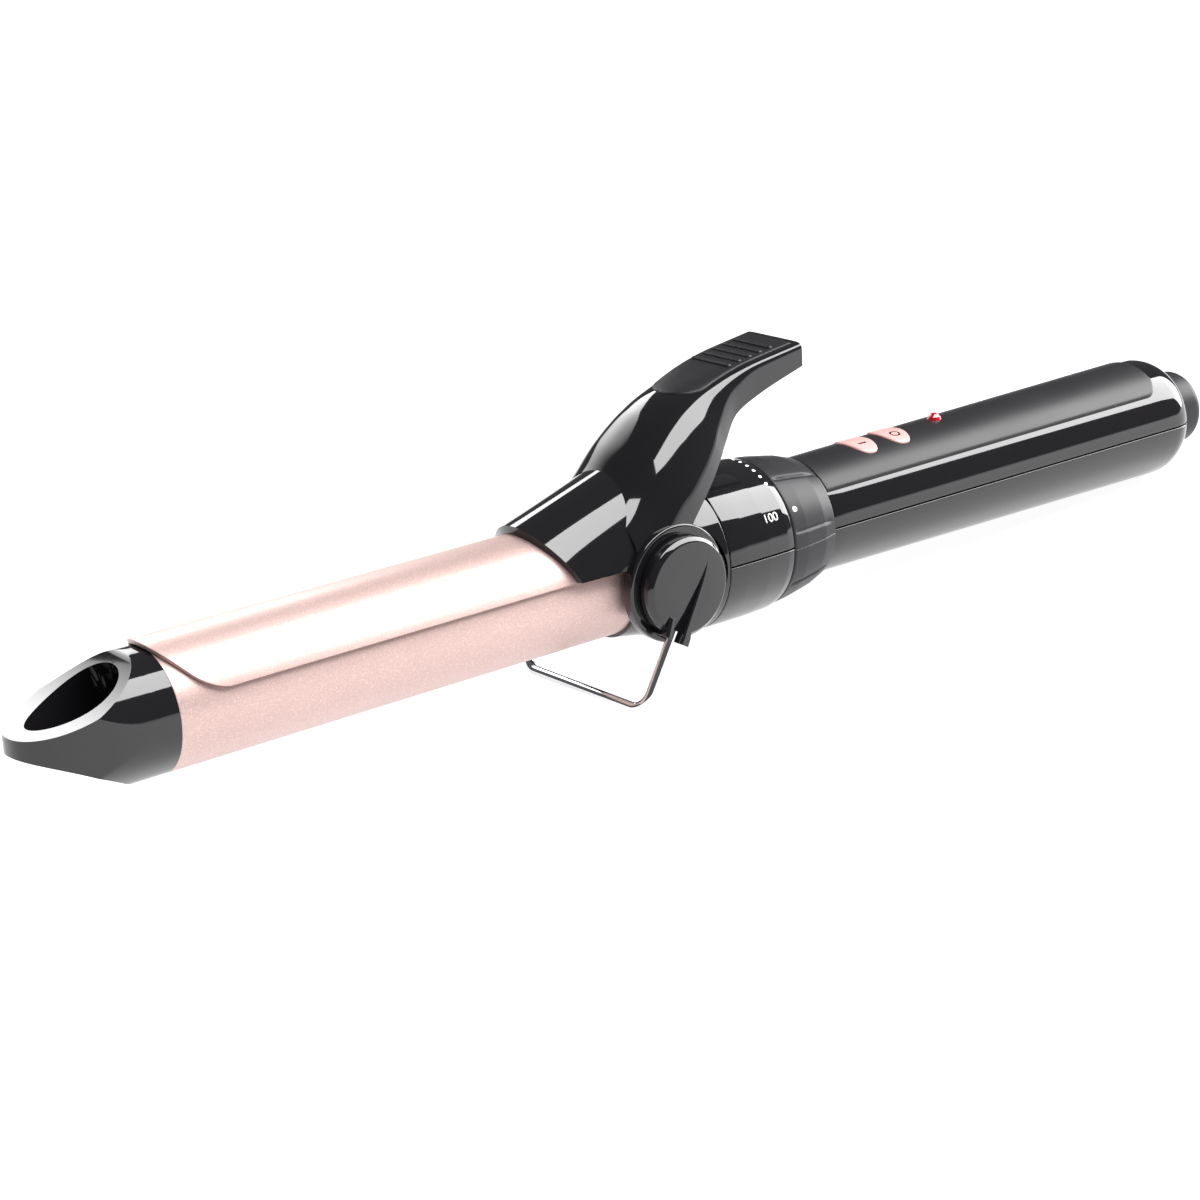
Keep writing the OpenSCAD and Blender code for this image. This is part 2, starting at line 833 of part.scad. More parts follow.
module handle_shell_upper() {
    resting() color(gloss_black) difference() {
        union() {
            intersection() {
                shell_body();
                block([housing_x - 1, -big, 0], [grip_end_x + 1, big, big]);
            }
            intersection() {
                turned(shell_outline);
                for (x = screw_xs)
                    translate([x, 0, 0])
                        cylinder(h = big, r = post_r);
            }
        }
        intersection() {
            grip_skin(-panel_t, 5);
            panel_plan(0);
        }
        for (x = screw_xs)
            translate([x, 0, -1])
                cylinder(h = screw_top_z + 1, r = screw_r);
        for (i = [0, 1])
            button_hole(button_on_x + i * button_pitch, button_gap);
        translate([lens_x, 0, board_top])
            cylinder(h = big, r = lens_r);
    }
}

module handle_shell_lower() {
    resting() color(gloss_black) difference() {
        union() {
            intersection() {
                shell_body();
                block([housing_x - 1, -big, -big], [grip_end_x + 1, big, 0]);
            }
            intersection() {
                turned(shell_outline);
                for (x = screw_xs)
                    translate([x, 0, -big])
                        cylinder(h = big, r = post_r + 0.6);
            }
            // Two ledges that carry the circuit board
            intersection() {
                turned(shell_outline);
                for (x = [board_x + 8, board_x + board_len - 8])
                    block([x, -board_half, -big], [x + 1.6, board_half, board_z]);
            }
        }
        for (x = screw_xs) {
            translate([x, 0, -big])
                cylinder(h = big + 1, r = screw_r + screw_hole_gap);
            translate([x, 0, screw_seat(x) - big])
                cylinder(h = big, r = screw_head_r + screw_hole_gap);
        }
    }
}

module top_panel() {
    resting() color(satin_black) difference() {
        intersection() {
            grip_skin(-panel_t, panel_rise);
            panel_plan(-0.1);
        }
        for (i = [0, 1])
            button_hole(button_on_x + i * button_pitch, button_gap);
        translate([lens_x, 0, board_top])
            cylinder(h = big, r = lens_r);
    }
}

module button(x) {
    cap_z = switch_top + button_travel + 0.5;
    intersection() {
        turned([
            [grip_x, 0], [grip_x, grip_front_r + panel_rise + 0.35],
            [shoulder_x, grip_rear_r + panel_rise + 0.35], [shoulder_x, 0]
        ]);
        intersection() {
            button_hole(x, 0);
            block([x - button_l, -big, cap_z], [x + button_l, big, big]);
        }
    }
    translate([x, 0, switch_top + button_travel + 0.1])
        cylinder(h = 1, r = 2);
}

module button_on() {
    resting() color(button_pink) button(button_on_x);
}

module button_off() {
    resting() color(button_pink) button(button_on_x + button_pitch);
}

module led_lens() {
    seat = grip_r(lens_x) + panel_rise;
    resting() color("#c3141c") translate([lens_x, 0, 0]) {
        translate([0, 0, board_top + 3.1])
            cylinder(h = seat - board_top - 3.1, r = lens_r);
        translate([0, 0, seat - 0.4])
            sphere(r = lens_r - 0.1, $fn = 32);
    }
}

// ---- inside the handle ----

module circuit_board() {
    resting() color(board_green)
        block([board_x, -board_half, board_z], [board_x + board_len, board_half, board_top]);
}

module board_components() {
    resting() color("#1c1c20") {
        // Diode under the lens
        block([lens_x - 1.5, -1.5, board_top], [lens_x + 1.5, 1.5, board_top + 3]);
        // Triac, capacitor and resistors
        block([lens_x + 8, -5, board_top], [lens_x + 17, 5, board_top + 2.2]);
        translate([lens_x + 26, 0, board_top])
            cylinder(h = 3, r = 4);
        for (y = [-4, 4])
            translate([0, y, board_top + 1])
                bar_x(lens_x - 7, lens_x - 2.5, 1);
    }
}

module tact_switches() {
    resting() color("#3c3c40")
        for (i = [0, 1]) {
            x = button_on_x + i * button_pitch;
            block(
                [x - switch_w / 2, -switch_w / 2, board_top],
                [x + switch_w / 2, switch_w / 2, switch_top]
            );
        }
}

// An arc of a ring about the barrel's axis, over the iron's top.
module arc_band(from, to, low, high, half_angle) {
    edge = [for (t = [-half_angle : 10 : half_angle]) [2 * high * sin(t), 2 * high * cos(t)]];
    intersection() {
        difference() {
            bar_x(from, to, high);
            bar_x(from - 1, to + 1, low);
        }
        translate([from - 1, 0, 0])
            rotate([90, 0, 90])
                linear_extrude(height = to - from + 2)
                    polygon(concat([[0, 0]], edge));
    }
}

module resistor_track() {
    resting() color("#3a2a20")
        arc_band(track_x, track_x + track_w, neck_r, neck_r + track_t, 80);
}

module handle_screws() {
    resting() color(bare_metal)
        for (x = screw_xs)
            translate([x, 0, 0]) {
                translate([0, 0, screw_seat(x) - screw_head_t])
                    cylinder(h = screw_head_t, r = screw_head_r);
                translate([0, 0, screw_seat(x) - 0.1])
                    cylinder(h = screw_top_z - screw_seat(x) - 0.4, r = screw_r);
            }
}

// ---- dial ----

module dial_ring() {
    from = housing_end_x + moving_gap;
    to = grip_x - moving_gap;
    resting() color(satin_black) difference() {
        turned([
            [from, 0], [from, dial_front_r - 0.5], [from + 0.5, dial_front_r],
            [from + dial_len * 0.28, dial_front_r - 0.5],
            [from + dial_len * 0.7, (dial_front_r + dial_rear_r) / 2],
            [to - 0.4, dial_rear_r + 0.1], [to, dial_rear_r - 0.4], [to, 0]
        ]);
        bar_x(from - 1, to + 1, neck_r + running_fit);
        bar_x(from - 1, track_x + track_w + 0.4, wiper_out_r);
        for (i = [0 : dial_grooves - 1])
            rotate([360 / dial_grooves * (i + 0.5), 0, 0])
                side_plate(
                    [
                        [from - 1, dial_front_r - groove_depth],
                        [from + dial_len * 0.28, dial_front_r - groove_depth - 0.5],
                        [to + 1, dial_rear_r - groove_depth], [to + 1, big], [from - 1, big]
                    ],
                    -groove_w / 2, groove_w / 2
                );
    }
}

module dial_wiper() {
    resting() color(brass_yellow)
        arc_band(track_x, track_x + track_w, wiper_in_r, wiper_out_r, 10);
}

// ---- swivel ----

module swivel_knob() {
    edge = [
        for (a = [0 : 15 : 90])
            [knob_end_x - knob_edge_r + knob_edge_r * sin(a),
             knob_r - knob_edge_r + knob_edge_r * cos(a)]
    ];
    resting() color(satin_black) difference() {
        union() {
            turned(concat([[knob_x, 0], [knob_x, knob_r]], edge, [[knob_end_x, 0]]));
            bar_x(stem_x, knob_x + 1, stem_r);
        }
        bar_x(stem_x - 1, knob_end_x + 1, inlet_r);
    }
}

module swivel_retainer() {
    resting() color(bare_metal) difference() {
        bar_x(stem_x, stem_x + retainer_t, retainer_r);
        bar_x(stem_x - 1, stem_x + retainer_t + 1, stem_r);
    }
}

barrel_tube();
tip_cap();
heat_spreader_upper();
heat_spreader_lower();
ptc_heater();
thermal_fuse();
barrel_insulator();
heater_leads();
front_collar();
pivot_pins();
lever_springs();
handle_shell_upper();
handle_shell_lower();
top_panel();
led_lens();
circuit_board();
board_components();
tact_switches();
resistor_track();
handle_screws();
clip_blade();
clip_lever();
thumb_pad();
clip_rivets();
stand_wire();
stand_hub_near();
stand_hub_far();
dial_ring();
dial_wiper();
button_on();
button_off();
swivel_knob();
swivel_retainer();
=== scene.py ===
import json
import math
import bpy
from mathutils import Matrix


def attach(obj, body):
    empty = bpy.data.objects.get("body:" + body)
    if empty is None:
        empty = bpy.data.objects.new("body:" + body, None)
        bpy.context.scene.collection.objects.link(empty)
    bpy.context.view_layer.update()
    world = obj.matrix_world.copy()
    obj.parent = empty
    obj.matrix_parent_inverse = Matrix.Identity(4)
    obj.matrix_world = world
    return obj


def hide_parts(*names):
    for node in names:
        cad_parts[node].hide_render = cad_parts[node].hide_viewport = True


bl_info = {
    "name": "Curling iron",
    "version": (1, 0, 0),
    "blender": (4, 5, 0),
    "location": "View3D > Sidebar > Curling iron",
    "description": "Builds the visible pieces of a curling iron round its packed frame",
    "category": "Object",
}

import bmesh
import bpy
from mathutils import Matrix, Vector

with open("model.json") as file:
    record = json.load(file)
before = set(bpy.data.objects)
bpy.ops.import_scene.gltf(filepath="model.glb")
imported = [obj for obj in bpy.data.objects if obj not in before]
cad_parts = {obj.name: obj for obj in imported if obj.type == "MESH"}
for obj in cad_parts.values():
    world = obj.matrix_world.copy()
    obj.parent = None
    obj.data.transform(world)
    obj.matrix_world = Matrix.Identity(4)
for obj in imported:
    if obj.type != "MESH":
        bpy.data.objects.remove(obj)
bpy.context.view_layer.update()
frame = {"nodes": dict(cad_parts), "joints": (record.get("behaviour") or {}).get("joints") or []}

# ---------------------------------------------------------------- the iron's own frame
# Shapes are worked out in millimetres in the iron's own frame: X along the barrel towards the
# handle, Y across, Z up out of the barrel, and the origin on the clip's pivot.

MM = 0.001


def joint(name):
    """The packed record's joint of that name."""
    return next(j for j in frame["joints"] if j["name"] == name)


PIVOT = Vector(joint("clip_hinge")["pos_m"])
ALONG = -Vector(joint("dial_turn")["axis"]).normalized()
ACROSS = Vector((0, 1, 0))
UP = ALONG.cross(ACROSS)
IRON = (
    Matrix.Translation(PIVOT)
    @ Matrix((ALONG, ACROSS, UP)).transposed().to_4x4()
    @ Matrix.Scale(MM, 4)
)
TO_IRON = IRON.inverted()


def span(node):
    """Lowest and highest corner of a CAD node in the iron's own frame, in millimetres."""
    points = [TO_IRON @ v.co for v in frame["nodes"][node].data.vertices]
    low = Vector(min(p[i] for p in points) for i in range(3))
    high = Vector(max(p[i] for p in points) for i in range(3))
    return low, high


BARREL_LOW, BARREL_HIGH = span("barrel_tube")
BLADE_LOW, BLADE_HIGH = span("clip_blade")
TIP_LOW = span("tip_cap")[0]
COLLAR_LOW = span("front_collar")[0]
SHELL_LOW, SHELL_HIGH = span("handle_shell_lower")
DIAL_LOW, DIAL_HIGH = span("dial_ring")
PANEL_LOW, PANEL_HIGH = span("top_panel")
KNOB_HIGH = span("swivel_knob")[1]
LEVER_LOW, LEVER_HIGH = span("clip_lever")
WIRE_HIGH = span("stand_wire")[1]
HUB_LOW, HUB_HIGH = span("stand_hub_far")
LENS_LOW, LENS_HIGH = span("led_lens")
BUTTONS = {name: span(name) for name in ("button_on", "button_off")}

BARREL_R = BARREL_HIGH.y
BLADE_R = BLADE_HIGH.z
HOUSING_X = SHELL_LOW.x
HOUSING_R = SHELL_HIGH.y
HOUSING_END_X = DIAL_LOW.x - 0.3
GRIP_X = DIAL_HIGH.x + 0.3
GRIP_END_X = SHELL_HIGH.x
KNOB_R = KNOB_HIGH.y
BUTTON_GAP = 0.15
SCREW_HOLE_R = 2.35
SCREW_SINK = 4
EAR_R = -LEVER_LOW.z
EAR_Y = LEVER_HIGH.y


def length(label, about, mm):
    """A length property, in metres, from a default in millimetres."""
    return bpy.props.FloatProperty(
        name=label, description=about, default=mm * MM, unit="LENGTH", precision=5
    )


def degrees(label, about, angle):
    """An angle property from a default in degrees."""
    return bpy.props.FloatProperty(
        name=label, description=about, default=math.radians(angle), subtype="ANGLE"
    )


def colour(label, about, rgb):
    """A colour property, linear."""
    return bpy.props.FloatVectorProperty(
        name=label, description=about, default=rgb, size=3, subtype="COLOR", min=0, max=1
    )


def count(label, about, number):
    """A whole number property."""
    return bpy.props.IntProperty(name=label, description=about, default=number, min=1)


# ---------------------------------------------------------------- sizes and colours


class BarrelSizes(bpy.types.PropertyGroup):
    """Sizes of the barrel, the clip blade and the tip."""

    blade_nose: length("Blade nose", "Radius of the blade's front outline from above", 14)
    blade_corner: length("Blade corner", "Radius of the blade's two front corners", 4.2)
    blade_t: length("Blade thickness", "Thickness of the blade", 0.8)
    blade_reach: degrees("Blade reach", "Angle the blade covers each side of its top", 69)
    rim_scoop: length("Rim scoop", "Radius of the scooped curve of the tip's rim", 48)
    chin_scoop: length("Chin scoop", "Radius of the scooped curve of the underside", 79)
    tip_straight: length("Tip straight", "Straight cap between barrel and rim", 3.6)
    hollow_len: length("Hollow length", "Half length of the hollow in the tip", 10.2)
    hollow_w: length("Hollow width", "Half width of the hollow in the tip", 7.1)


class LeverSizes(bpy.types.PropertyGroup):
    """Sizes of the lever, its thumb pad and its ears."""

    wall: length("Wall", "Wall of the lever", 2.2)
    saddle_front: length("Saddle front", "Saddle's front edge, forward of the pivot", 28.8)
    saddle_r: length("Saddle height", "Height of the saddle's front over the axis", 15.4)
    inlay_half: length("Inlay half width", "Half width of the thumb pad's inlay", 7.1)
    inlay_front: length("Inlay front", "Front of the inlay behind the pivot", 11)
    rib_first: length("First rib", "First rib behind the pivot", 25.2)
    rib_pitch: length("Rib pitch", "Distance between ribs", 2.9)
    ribs: count("Ribs", "Number of ribs across the thumb pad", 5)


class HandleSizes(bpy.types.PropertyGroup):
    """Sizes of the housing, the dial, the grip and its controls."""

    edge: length("Edge rounding", "Radius on the shells' edges", 0.35)
    wall: length("Wall", "Wall of the shells", 2)
    shoulder_r: length("Shoulder", "Radius that rounds the grip's rear", 8)
    grip_front_r: length("Grip front", "Radius of the grip behind the dial", 12.8)
    grip_rear_r: length("Grip rear", "Radius of the grip at its rear", 13.9)
    neck_r: length("Neck", "Radius of the neck under the dial", 11.5)
    dial_rear_r: length("Dial rear", "Radius of the dial's rear edge", 13.6)
    dial_grooves: count("Dial grooves", "Number of grip grooves round the dial", 8)
    panel_rise: length("Panel rise", "How far the panel stands over the shell", 0.3)
    panel_corner: length("Panel corner", "Radius of the panel's rear corners", 4.5)
    scale_dots: count("Scale dots", "Number of printed dots on the scale", 13)
    dot_step: degrees("Dot step", "Angle between printed dots", 7.5)
    dot_r: length("Dot radius", "Radius of a printed dot", 0.42)


class StandSizes(bpy.types.PropertyGroup):
    """Sizes of the wire stand and its hubs."""

    reach: length("Reach", "Pivot to the stand's crossbar", 26.95)
    lean: degrees("Lean", "Lean of the legs towards the tip", 30)
    wire_d: length("Wire", "Diameter of the wire", 2.1)
    bend_r: length("Bend", "Radius of the wire's corners", 4)
    hub_r: length("Hub radius", "Radius of the hub discs", 10.6)


class Colours(bpy.types.PropertyGroup):
    """Colours of the finishes."""

    rose: colour("Rose gold", "Pearl coating of the barrel and clip", (0.64, 0.455, 0.42))
    gloss: colour("Gloss black", "Polished black plastic", (0.007, 0.0065, 0.0075))
    satin: colour("Satin black", "Dial and knob", (0.020, 0.019, 0.021))
    soft: colour("Soft black", "Soft-touch panel and thumb pad", (0.013, 0.0125, 0.014))
    chrome: colour("Chrome", "Stand wire", (0.80, 0.80, 0.81))
    pink: colour("Pink", "Buttons", (0.70, 0.36, 0.34))
    lens: colour("Lens red", "Indicator lens", (0.42, 0.006, 0.012))
    floor: colour("Floor", "Floor the iron stands on", (0.32, 0.32, 0.325))


# ---------------------------------------------------------------- shader maths


class Value:
    """A shader socket that can be used in Python sums; each sum adds its Math node."""

    def __init__(self, graph, socket):
        self.graph = graph
        self.socket = socket

    def maths(self, operation, *others, first=None):
        terms = [self, *others] if first is None else [first, self]
        sockets = dict(enumerate(terms))
        return self.graph.node("ShaderNodeMath", {"operation": operation}, sockets)

    def __add__(self, other):
        return self.maths("ADD", other)

    def __radd__(self, other):
        return self.maths("ADD", first=other)

    def __sub__(self, other):
        return self.maths("SUBTRACT", other)

    def __rsub__(self, other):
        return self.maths("SUBTRACT", first=other)

    def __mul__(self, other):
        return self.maths("MULTIPLY", other)

    def __rmul__(self, other):
        return self.maths("MULTIPLY", first=other)

    def __lt__(self, other):
        return self.maths("LESS_THAN", other)

    def __gt__(self, other):
        return self.maths("GREATER_THAN", other)

    def __abs__(self):
        return self.maths("ABSOLUTE")

    def root(self):
        return self.maths("SQRT")


class Graph:
    """A material's node tree."""

    def __init__(self, name):
        self.material = bpy.data.materials.new(name)
        self.material.use_nodes = True
        self.tree = self.material.node_tree
        self.tree.nodes.clear()

    def node(self, kind, settings, sockets, output=0):
        """Adds a node: its settings first, then the values or links of its sockets."""
        made = self.tree.nodes.new(kind)
        for key, value in settings.items():
            if key == "stops":
                elements = made.color_ramp.elements
                while len(elements) < len(value):
                    elements.new(1.0)
                for element, (place, rgba) in zip(elements, value):
                    element.position = place
                    element.color = rgba
            else:
                setattr(made, key, value)
        for key, value in sockets.items():
            if isinstance(value, Value):
                self.tree.links.new(value.socket, made.inputs[key])
            else:
                made.inputs[key].default_value = value
        return Value(self, made.outputs[output]) if made.outputs else None

    def place(self):
        """Object coordinates, in metres."""
        return self.node("ShaderNodeTexCoord", {}, {}, "Object")

    def axis(self, direction, origin=(0, 0, 0)):
        """Distance along a direction from a point, in millimetres."""
        vector = self.node(
            "ShaderNodeVectorMath", {"operation": "SUBTRACT"}, {0: self.place(), 1: origin}
        )
        along = self.node(
            "ShaderNodeVectorMath",
            {"operation": "DOT_PRODUCT"},
            {0: vector, 1: direction},
            "Value",
        )
        return along * (1 / MM)

    def noise(self, size_mm, detail=2.0, stretch=(1, 1, 1)):
        """Noise whose features are about this size; stretch lengthens them along an axis."""
        scaled = self.node(
            "ShaderNodeVectorMath",
            {"operation": "DIVIDE"},
            {0: self.place(), 1: stretch},
        )
        return self.node(
            "ShaderNodeTexNoise",
            {},
            {"Vector": scaled, "Scale": 1 / (size_mm * MM), "Detail": detail},
        )

    def flakes(self, size_mm):
        """A random number for each small cell."""
        cells = self.node(
            "ShaderNodeTexVoronoi",
            {},
            {"Vector": self.place(), "Scale": 1 / (size_mm * MM)},
            "Color",
        )
        return self.node("ShaderNodeSeparateColor", {}, {0: cells}, 0)

    def ramp(self, value, *stops):
        """A grey ramp of (place, brightness) stops."""
        grey = [(place, (level, level, level, 1)) for place, level in stops]
        return self.node("ShaderNodeValToRGB", {"stops": grey}, {0: value})

    def mix(self, factor, first, second):
        """Mix of two colours; each is a tuple or a socket."""
        pair = [c if isinstance(c, Value) else (*tuple(c)[:3], 1.0) for c in (first, second)]
        return self.node(
            "ShaderNodeMix",
            {"data_type": "RGBA"},
            {0: factor, 6: pair[0], 7: pair[1]},
            2,
        )

    def bump(self, height, depth_mm, strength=1.0):
        """A Bump node; height runs from 0 to 1."""
        return self.node(
            "ShaderNodeBump",
            {},
            {"Strength": strength, "Distance": depth_mm * MM, "Height": height},
        )

    def finish(self, **sockets):
        """The Principled shader and the output; underscores in names stand for spaces."""
        named = {key.replace("_", " "): value for key, value in sockets.items()}
        shader = self.node("ShaderNodeBsdfPrincipled", {}, named)
        self.node("ShaderNodeOutputMaterial", {}, {"Surface": shader})
        return self.material


def shade(rgb, factor):
    """A colour made lighter or darker."""
    return tuple(min(1.0, c * factor) for c in tuple(rgb)[:3])


# ---------------------------------------------------------------- finishes


def rose_gold(rgb):
    """Pearl rose-gold coating: fine bright flakes in a softly clouded pink."""
    g = Graph("rose_gold_pearl")
    flakes = g.flakes(0.16)
    grain = g.noise(0.35, 3.0)
    cloud = g.noise(18, 2.0)
    base = g.mix(cloud, shade(rgb, 0.94), shade(rgb, 1.06))
    speckled = g.mix(g.ramp(flakes, (0.0, 0.0), (1.0, 1.0)), shade(rgb, 0.80), base)
    glints = g.ramp(flakes, (0.90, 0.0), (1.0, 1.0))
    tinted = g.mix(glints * 0.22, speckled, (1.0, 0.93, 0.90))
    return g.finish(
        Base_Color=tinted,
        Metallic=0.62,
        Roughness=g.ramp(grain, (0.3, 0.40), (0.7, 0.50)),
        Specular_IOR_Level=0.6,
        Coat_Weight=0.3,
        Coat_Roughness=0.28,
        Normal=g.bump(flakes * 0.6 + grain * 0.4, 0.012, 0.35),
    )


def gloss_black(rgb):
    """Polished black plastic with faint handling marks in the gloss."""
    g = Graph("gloss_black_plastic")
    smear = g.noise(26, 4.0)
    dust = g.noise(0.5, 2.0)
    return g.finish(
        Base_Color=g.mix(smear, shade(rgb, 0.9), shade(rgb, 1.25)),
        Roughness=g.ramp(smear * 0.85 + dust * 0.15, (0.3, 0.035), (0.75, 0.075)),
        IOR=1.48,
        Coat_Weight=0.3,
        Coat_Roughness=0.03,
        Normal=g.bump(g.noise(9, 1.0), 0.02, 0.05),
    )


def satin_black(rgb):
    """Satin moulded plastic with a fine spark-eroded grain."""
    g = Graph("satin_black_plastic")
    grain = g.noise(0.28, 3.0)
    cloud = g.noise(12, 2.0)
    return g.finish(
        Base_Color=g.mix(cloud, shade(rgb, 0.85), shade(rgb, 1.25)),
        Roughness=g.ramp(grain * 0.5 + cloud * 0.5, (0.3, 0.34), (0.7, 0.44)),
        Specular_IOR_Level=0.2,
        Normal=g.bump(grain, 0.02, 0.35),
    )


def soft_black(rgb):
    """Soft-touch rubber coating: matt, with a very fine grain."""
    g = Graph("soft_touch_coating")
    grain = g.noise(0.2, 3.0)
    rubbed = g.noise(30, 3.0)
    return g.finish(
        Base_Color=g.mix(rubbed, shade(rgb, 0.85), shade(rgb, 1.2)),
        Roughness=g.ramp(rubbed * 0.7 + grain * 0.3, (0.3, 0.36), (0.7, 0.46)),
        Specular_IOR_Level=0.3,
        Normal=g.bump(grain, 0.015, 0.3),
    )


def chrome(rgb):
    """Chromed wire with faint drawing lines."""
    g = Graph("chromed_wire")
    lines = g.noise(0.4, 2.0, stretch=(1, 12, 1))
    return g.finish(
        Base_Color=g.mix(lines, shade(rgb, 0.9), rgb),
        Metallic=1.0,
        Roughness=g.ramp(lines, (0.3, 0.04), (0.8, 0.12)),
        Normal=g.bump(lines, 0.004, 0.2),
    )


def plain_metal(name, rgb, rough):
    """Brushed metal for the fasteners and the parts inside."""
    g = Graph(name)
    brushed = g.noise(0.15, 3.0, stretch=(14, 1, 1))
    return g.finish(
        Base_Color=g.mix(brushed, shade(rgb, 0.75), shade(rgb, 1.1)),
        Metallic=1.0,
        Roughness=g.ramp(brushed, (0.3, rough), (0.8, rough + 0.18)),
        Normal=g.bump(brushed, 0.006, 0.4),
    )


def dull_plastic(name, rgb, size_mm):
    """Unpolished plastic, ceramic or board for the parts inside."""
    g = Graph(name)
    grain = g.noise(size_mm, 4.0)
    return g.finish(
        Base_Color=g.mix(grain, shade(rgb, 0.7), shade(rgb, 1.15)),
        Roughness=g.ramp(grain, (0.3, 0.45), (0.7, 0.65)),
        Normal=g.bump(grain, 0.03, 0.4),
    )


def button_pink(rgb, centre, ring):
    """Pink button plastic with a printed bar or ring, set by where the mark's middle is."""
    g = Graph("pink_button_ring" if ring else "pink_button_bar")
    along = g.axis(ALONG, centre)
    across = g.axis(ACROSS, centre)
    if ring:
        outer_r, line = 1.05, 0.24
        reach = (along * along + across * across).root()
        mark = abs(reach - outer_r) < line
    else:
        half_len, half_w = 1.2, 0.3
        mark = (abs(along) < half_len) * (abs(across) < half_w)
    grain = g.noise(0.3, 2.0)
    body = g.mix(grain, shade(rgb, 0.93), shade(rgb, 1.06))
    return g.finish(
        Base_Color=g.mix(mark, body, (0.01, 0.01, 0.012)),
        Roughness=g.ramp(grain, (0.3, 0.26), (0.7, 0.34)),
        Coat_Weight=0.3,
        Coat_Roughness=0.15,
        Normal=g.bump(grain, 0.01, 0.2),
    )


def lens_red(rgb):
    """Clear red lens, deeper in its middle, with a faint painted glow."""
    g = Graph("red_lens")
    depth = g.noise(1.2, 1.0)
    tint = g.mix(depth, shade(rgb, 0.55), shade(rgb, 1.3))
    return g.finish(
        Base_Color=tint,
        Roughness=g.ramp(depth, (0.2, 0.03), (0.8, 0.08)),
        Coat_Weight=1.0,
        Coat_Roughness=0.02,
        # Painted glow: the lens gives off a faint red light of its own.
        Emission_Color=tint,
        Emission_Strength=0.08,
    )


def print_white():
    """White pad-printed ink, a little uneven, with a faint painted glow that keeps it bright."""
    g = Graph("white_print")
    ink = g.noise(0.25, 2.0)
    return g.finish(
        Base_Color=g.mix(ink, (0.78, 0.77, 0.75), (0.92, 0.91, 0.89)),
        Roughness=g.ramp(ink, (0.3, 0.35), (0.7, 0.5)),
        # Painted glow: the ink gives off a little light of its own.
        Emission_Color=(0.9, 0.9, 0.88, 1.0),
        Emission_Strength=0.12,
    )


def floor_paper(rgb, glow):
    """Plain pale paper that also glows a little, as a lit table does."""
    g = Graph("pale_floor")
    fibres = g.noise(2.5, 3.0)
    tone = g.mix(fibres, shade(rgb, 0.995), rgb)
    return g.finish(
        Base_Color=tone,
        Roughness=0.9,
        Specular_IOR_Level=0.1,
        Emission_Color=(0.97, 0.97, 0.98, 1.0),
        Emission_Strength=glow,
    )


MATERIALS = {}


def make_finishes(colours):
    """Makes every finish once, by the name that pieces ask for."""
    button_top = {name: IRON @ Vector(((low.x + high.x) / 2, -2.2, high.z))
                  for name, (low, high) in BUTTONS.items()}
    MATERIALS.update(
        rose_gold=rose_gold(colours.rose),
        gloss_black=gloss_black(colours.gloss),
        satin_black=satin_black(colours.satin),
        soft_black=soft_black(colours.soft),
        chrome=chrome(colours.chrome),
        steel=plain_metal("plain_steel", (0.55, 0.56, 0.57), 0.25),
        aluminium=plain_metal("extruded_aluminium", (0.72, 0.73, 0.74), 0.35),
        brass=plain_metal("sprung_brass", (0.72, 0.50, 0.20), 0.25),
        ceramic=dull_plastic("ceramic", (0.76, 0.70, 0.60), 0.8),
        board=dull_plastic("epoxy_board", (0.03, 0.20, 0.08), 0.5),
        component=dull_plastic("component_body", (0.03, 0.03, 0.035), 0.4),
        wire_sleeve=dull_plastic("silicone_sleeve", (0.40, 0.05, 0.04), 0.6),
        carbon_track=dull_plastic("carbon_track", (0.05, 0.03, 0.02), 0.2),
        button_on=button_pink(colours.pink, button_top["button_on"], False),
        button_off=button_pink(colours.pink, button_top["button_off"], True),
        red_lens=lens_red(colours.lens),
        white_print=print_white(),
    )


# ---------------------------------------------------------------- mesh helpers


def blank(name, points, faces, material=None, smooth=30.0, closed=True):
    """An object from points in the iron's frame, smooth but for edges sharper than an angle."""
    mesh = bpy.data.meshes.new(name)
    mesh.from_pydata([IRON @ Vector(p) for p in points], [], faces)
    work = bmesh.new()
    work.from_mesh(mesh)
    bmesh.ops.remove_doubles(work, verts=work.verts, dist=0.004 * MM)
    bmesh.ops.dissolve_degenerate(work, edges=work.edges, dist=0.002 * MM)
    if closed:
        bmesh.ops.recalc_face_normals(work, faces=work.faces)
    work.to_mesh(mesh)
    work.free()
    mesh.shade_smooth()
    mesh.set_sharp_from_angle(angle=math.radians(smooth))
    made = bpy.data.objects.new(name, mesh)
    bpy.context.scene.collection.objects.link(made)
    if material:
        mesh.materials.append(MATERIALS[material])
    return made


def plain_mesh(made):
    """Turns an object's modifiers into plain mesh and removes them."""
    bpy.context.view_layer.update()
    graph = bpy.context.evaluated_depsgraph_get()
    result = bpy.data.meshes.new_from_object(made.evaluated_get(graph))
    made.modifiers.clear()
    made.data = result
    return made


def bevel(made, width, angle=35.0, segments=3):
    """Rounds the sharp edges of a piece."""
    rounding = made.modifiers.new("rounding", "BEVEL")
    rounding.width = width * MM
    rounding.segments = segments
    rounding.limit_method = "ANGLE"
    rounding.angle_limit = math.radians(angle)
    rounding.harden_normals = True
    return plain_mesh(made)


def cut(made, *cutters):
    """Cuts shapes out of a piece and removes the cutters."""
    for cutter in cutters:
        hole = made.modifiers.new("hole", "BOOLEAN")
        hole.operation = "DIFFERENCE"
        hole.solver = "EXACT"
        hole.object = cutter
    plain_mesh(made)
    for cutter in cutters:
        bpy.data.objects.remove(cutter)
    made.data.set_sharp_from_angle(angle=math.radians(30))
    return made


def join(first, *others):
    """Joins objects into the first."""
    work = bmesh.new()
    for made in (first, *others):
        work.from_mesh(made.data)
    work.to_mesh(first.data)
    work.free()
    for made in others:
        bpy.data.objects.remove(made)
    return first


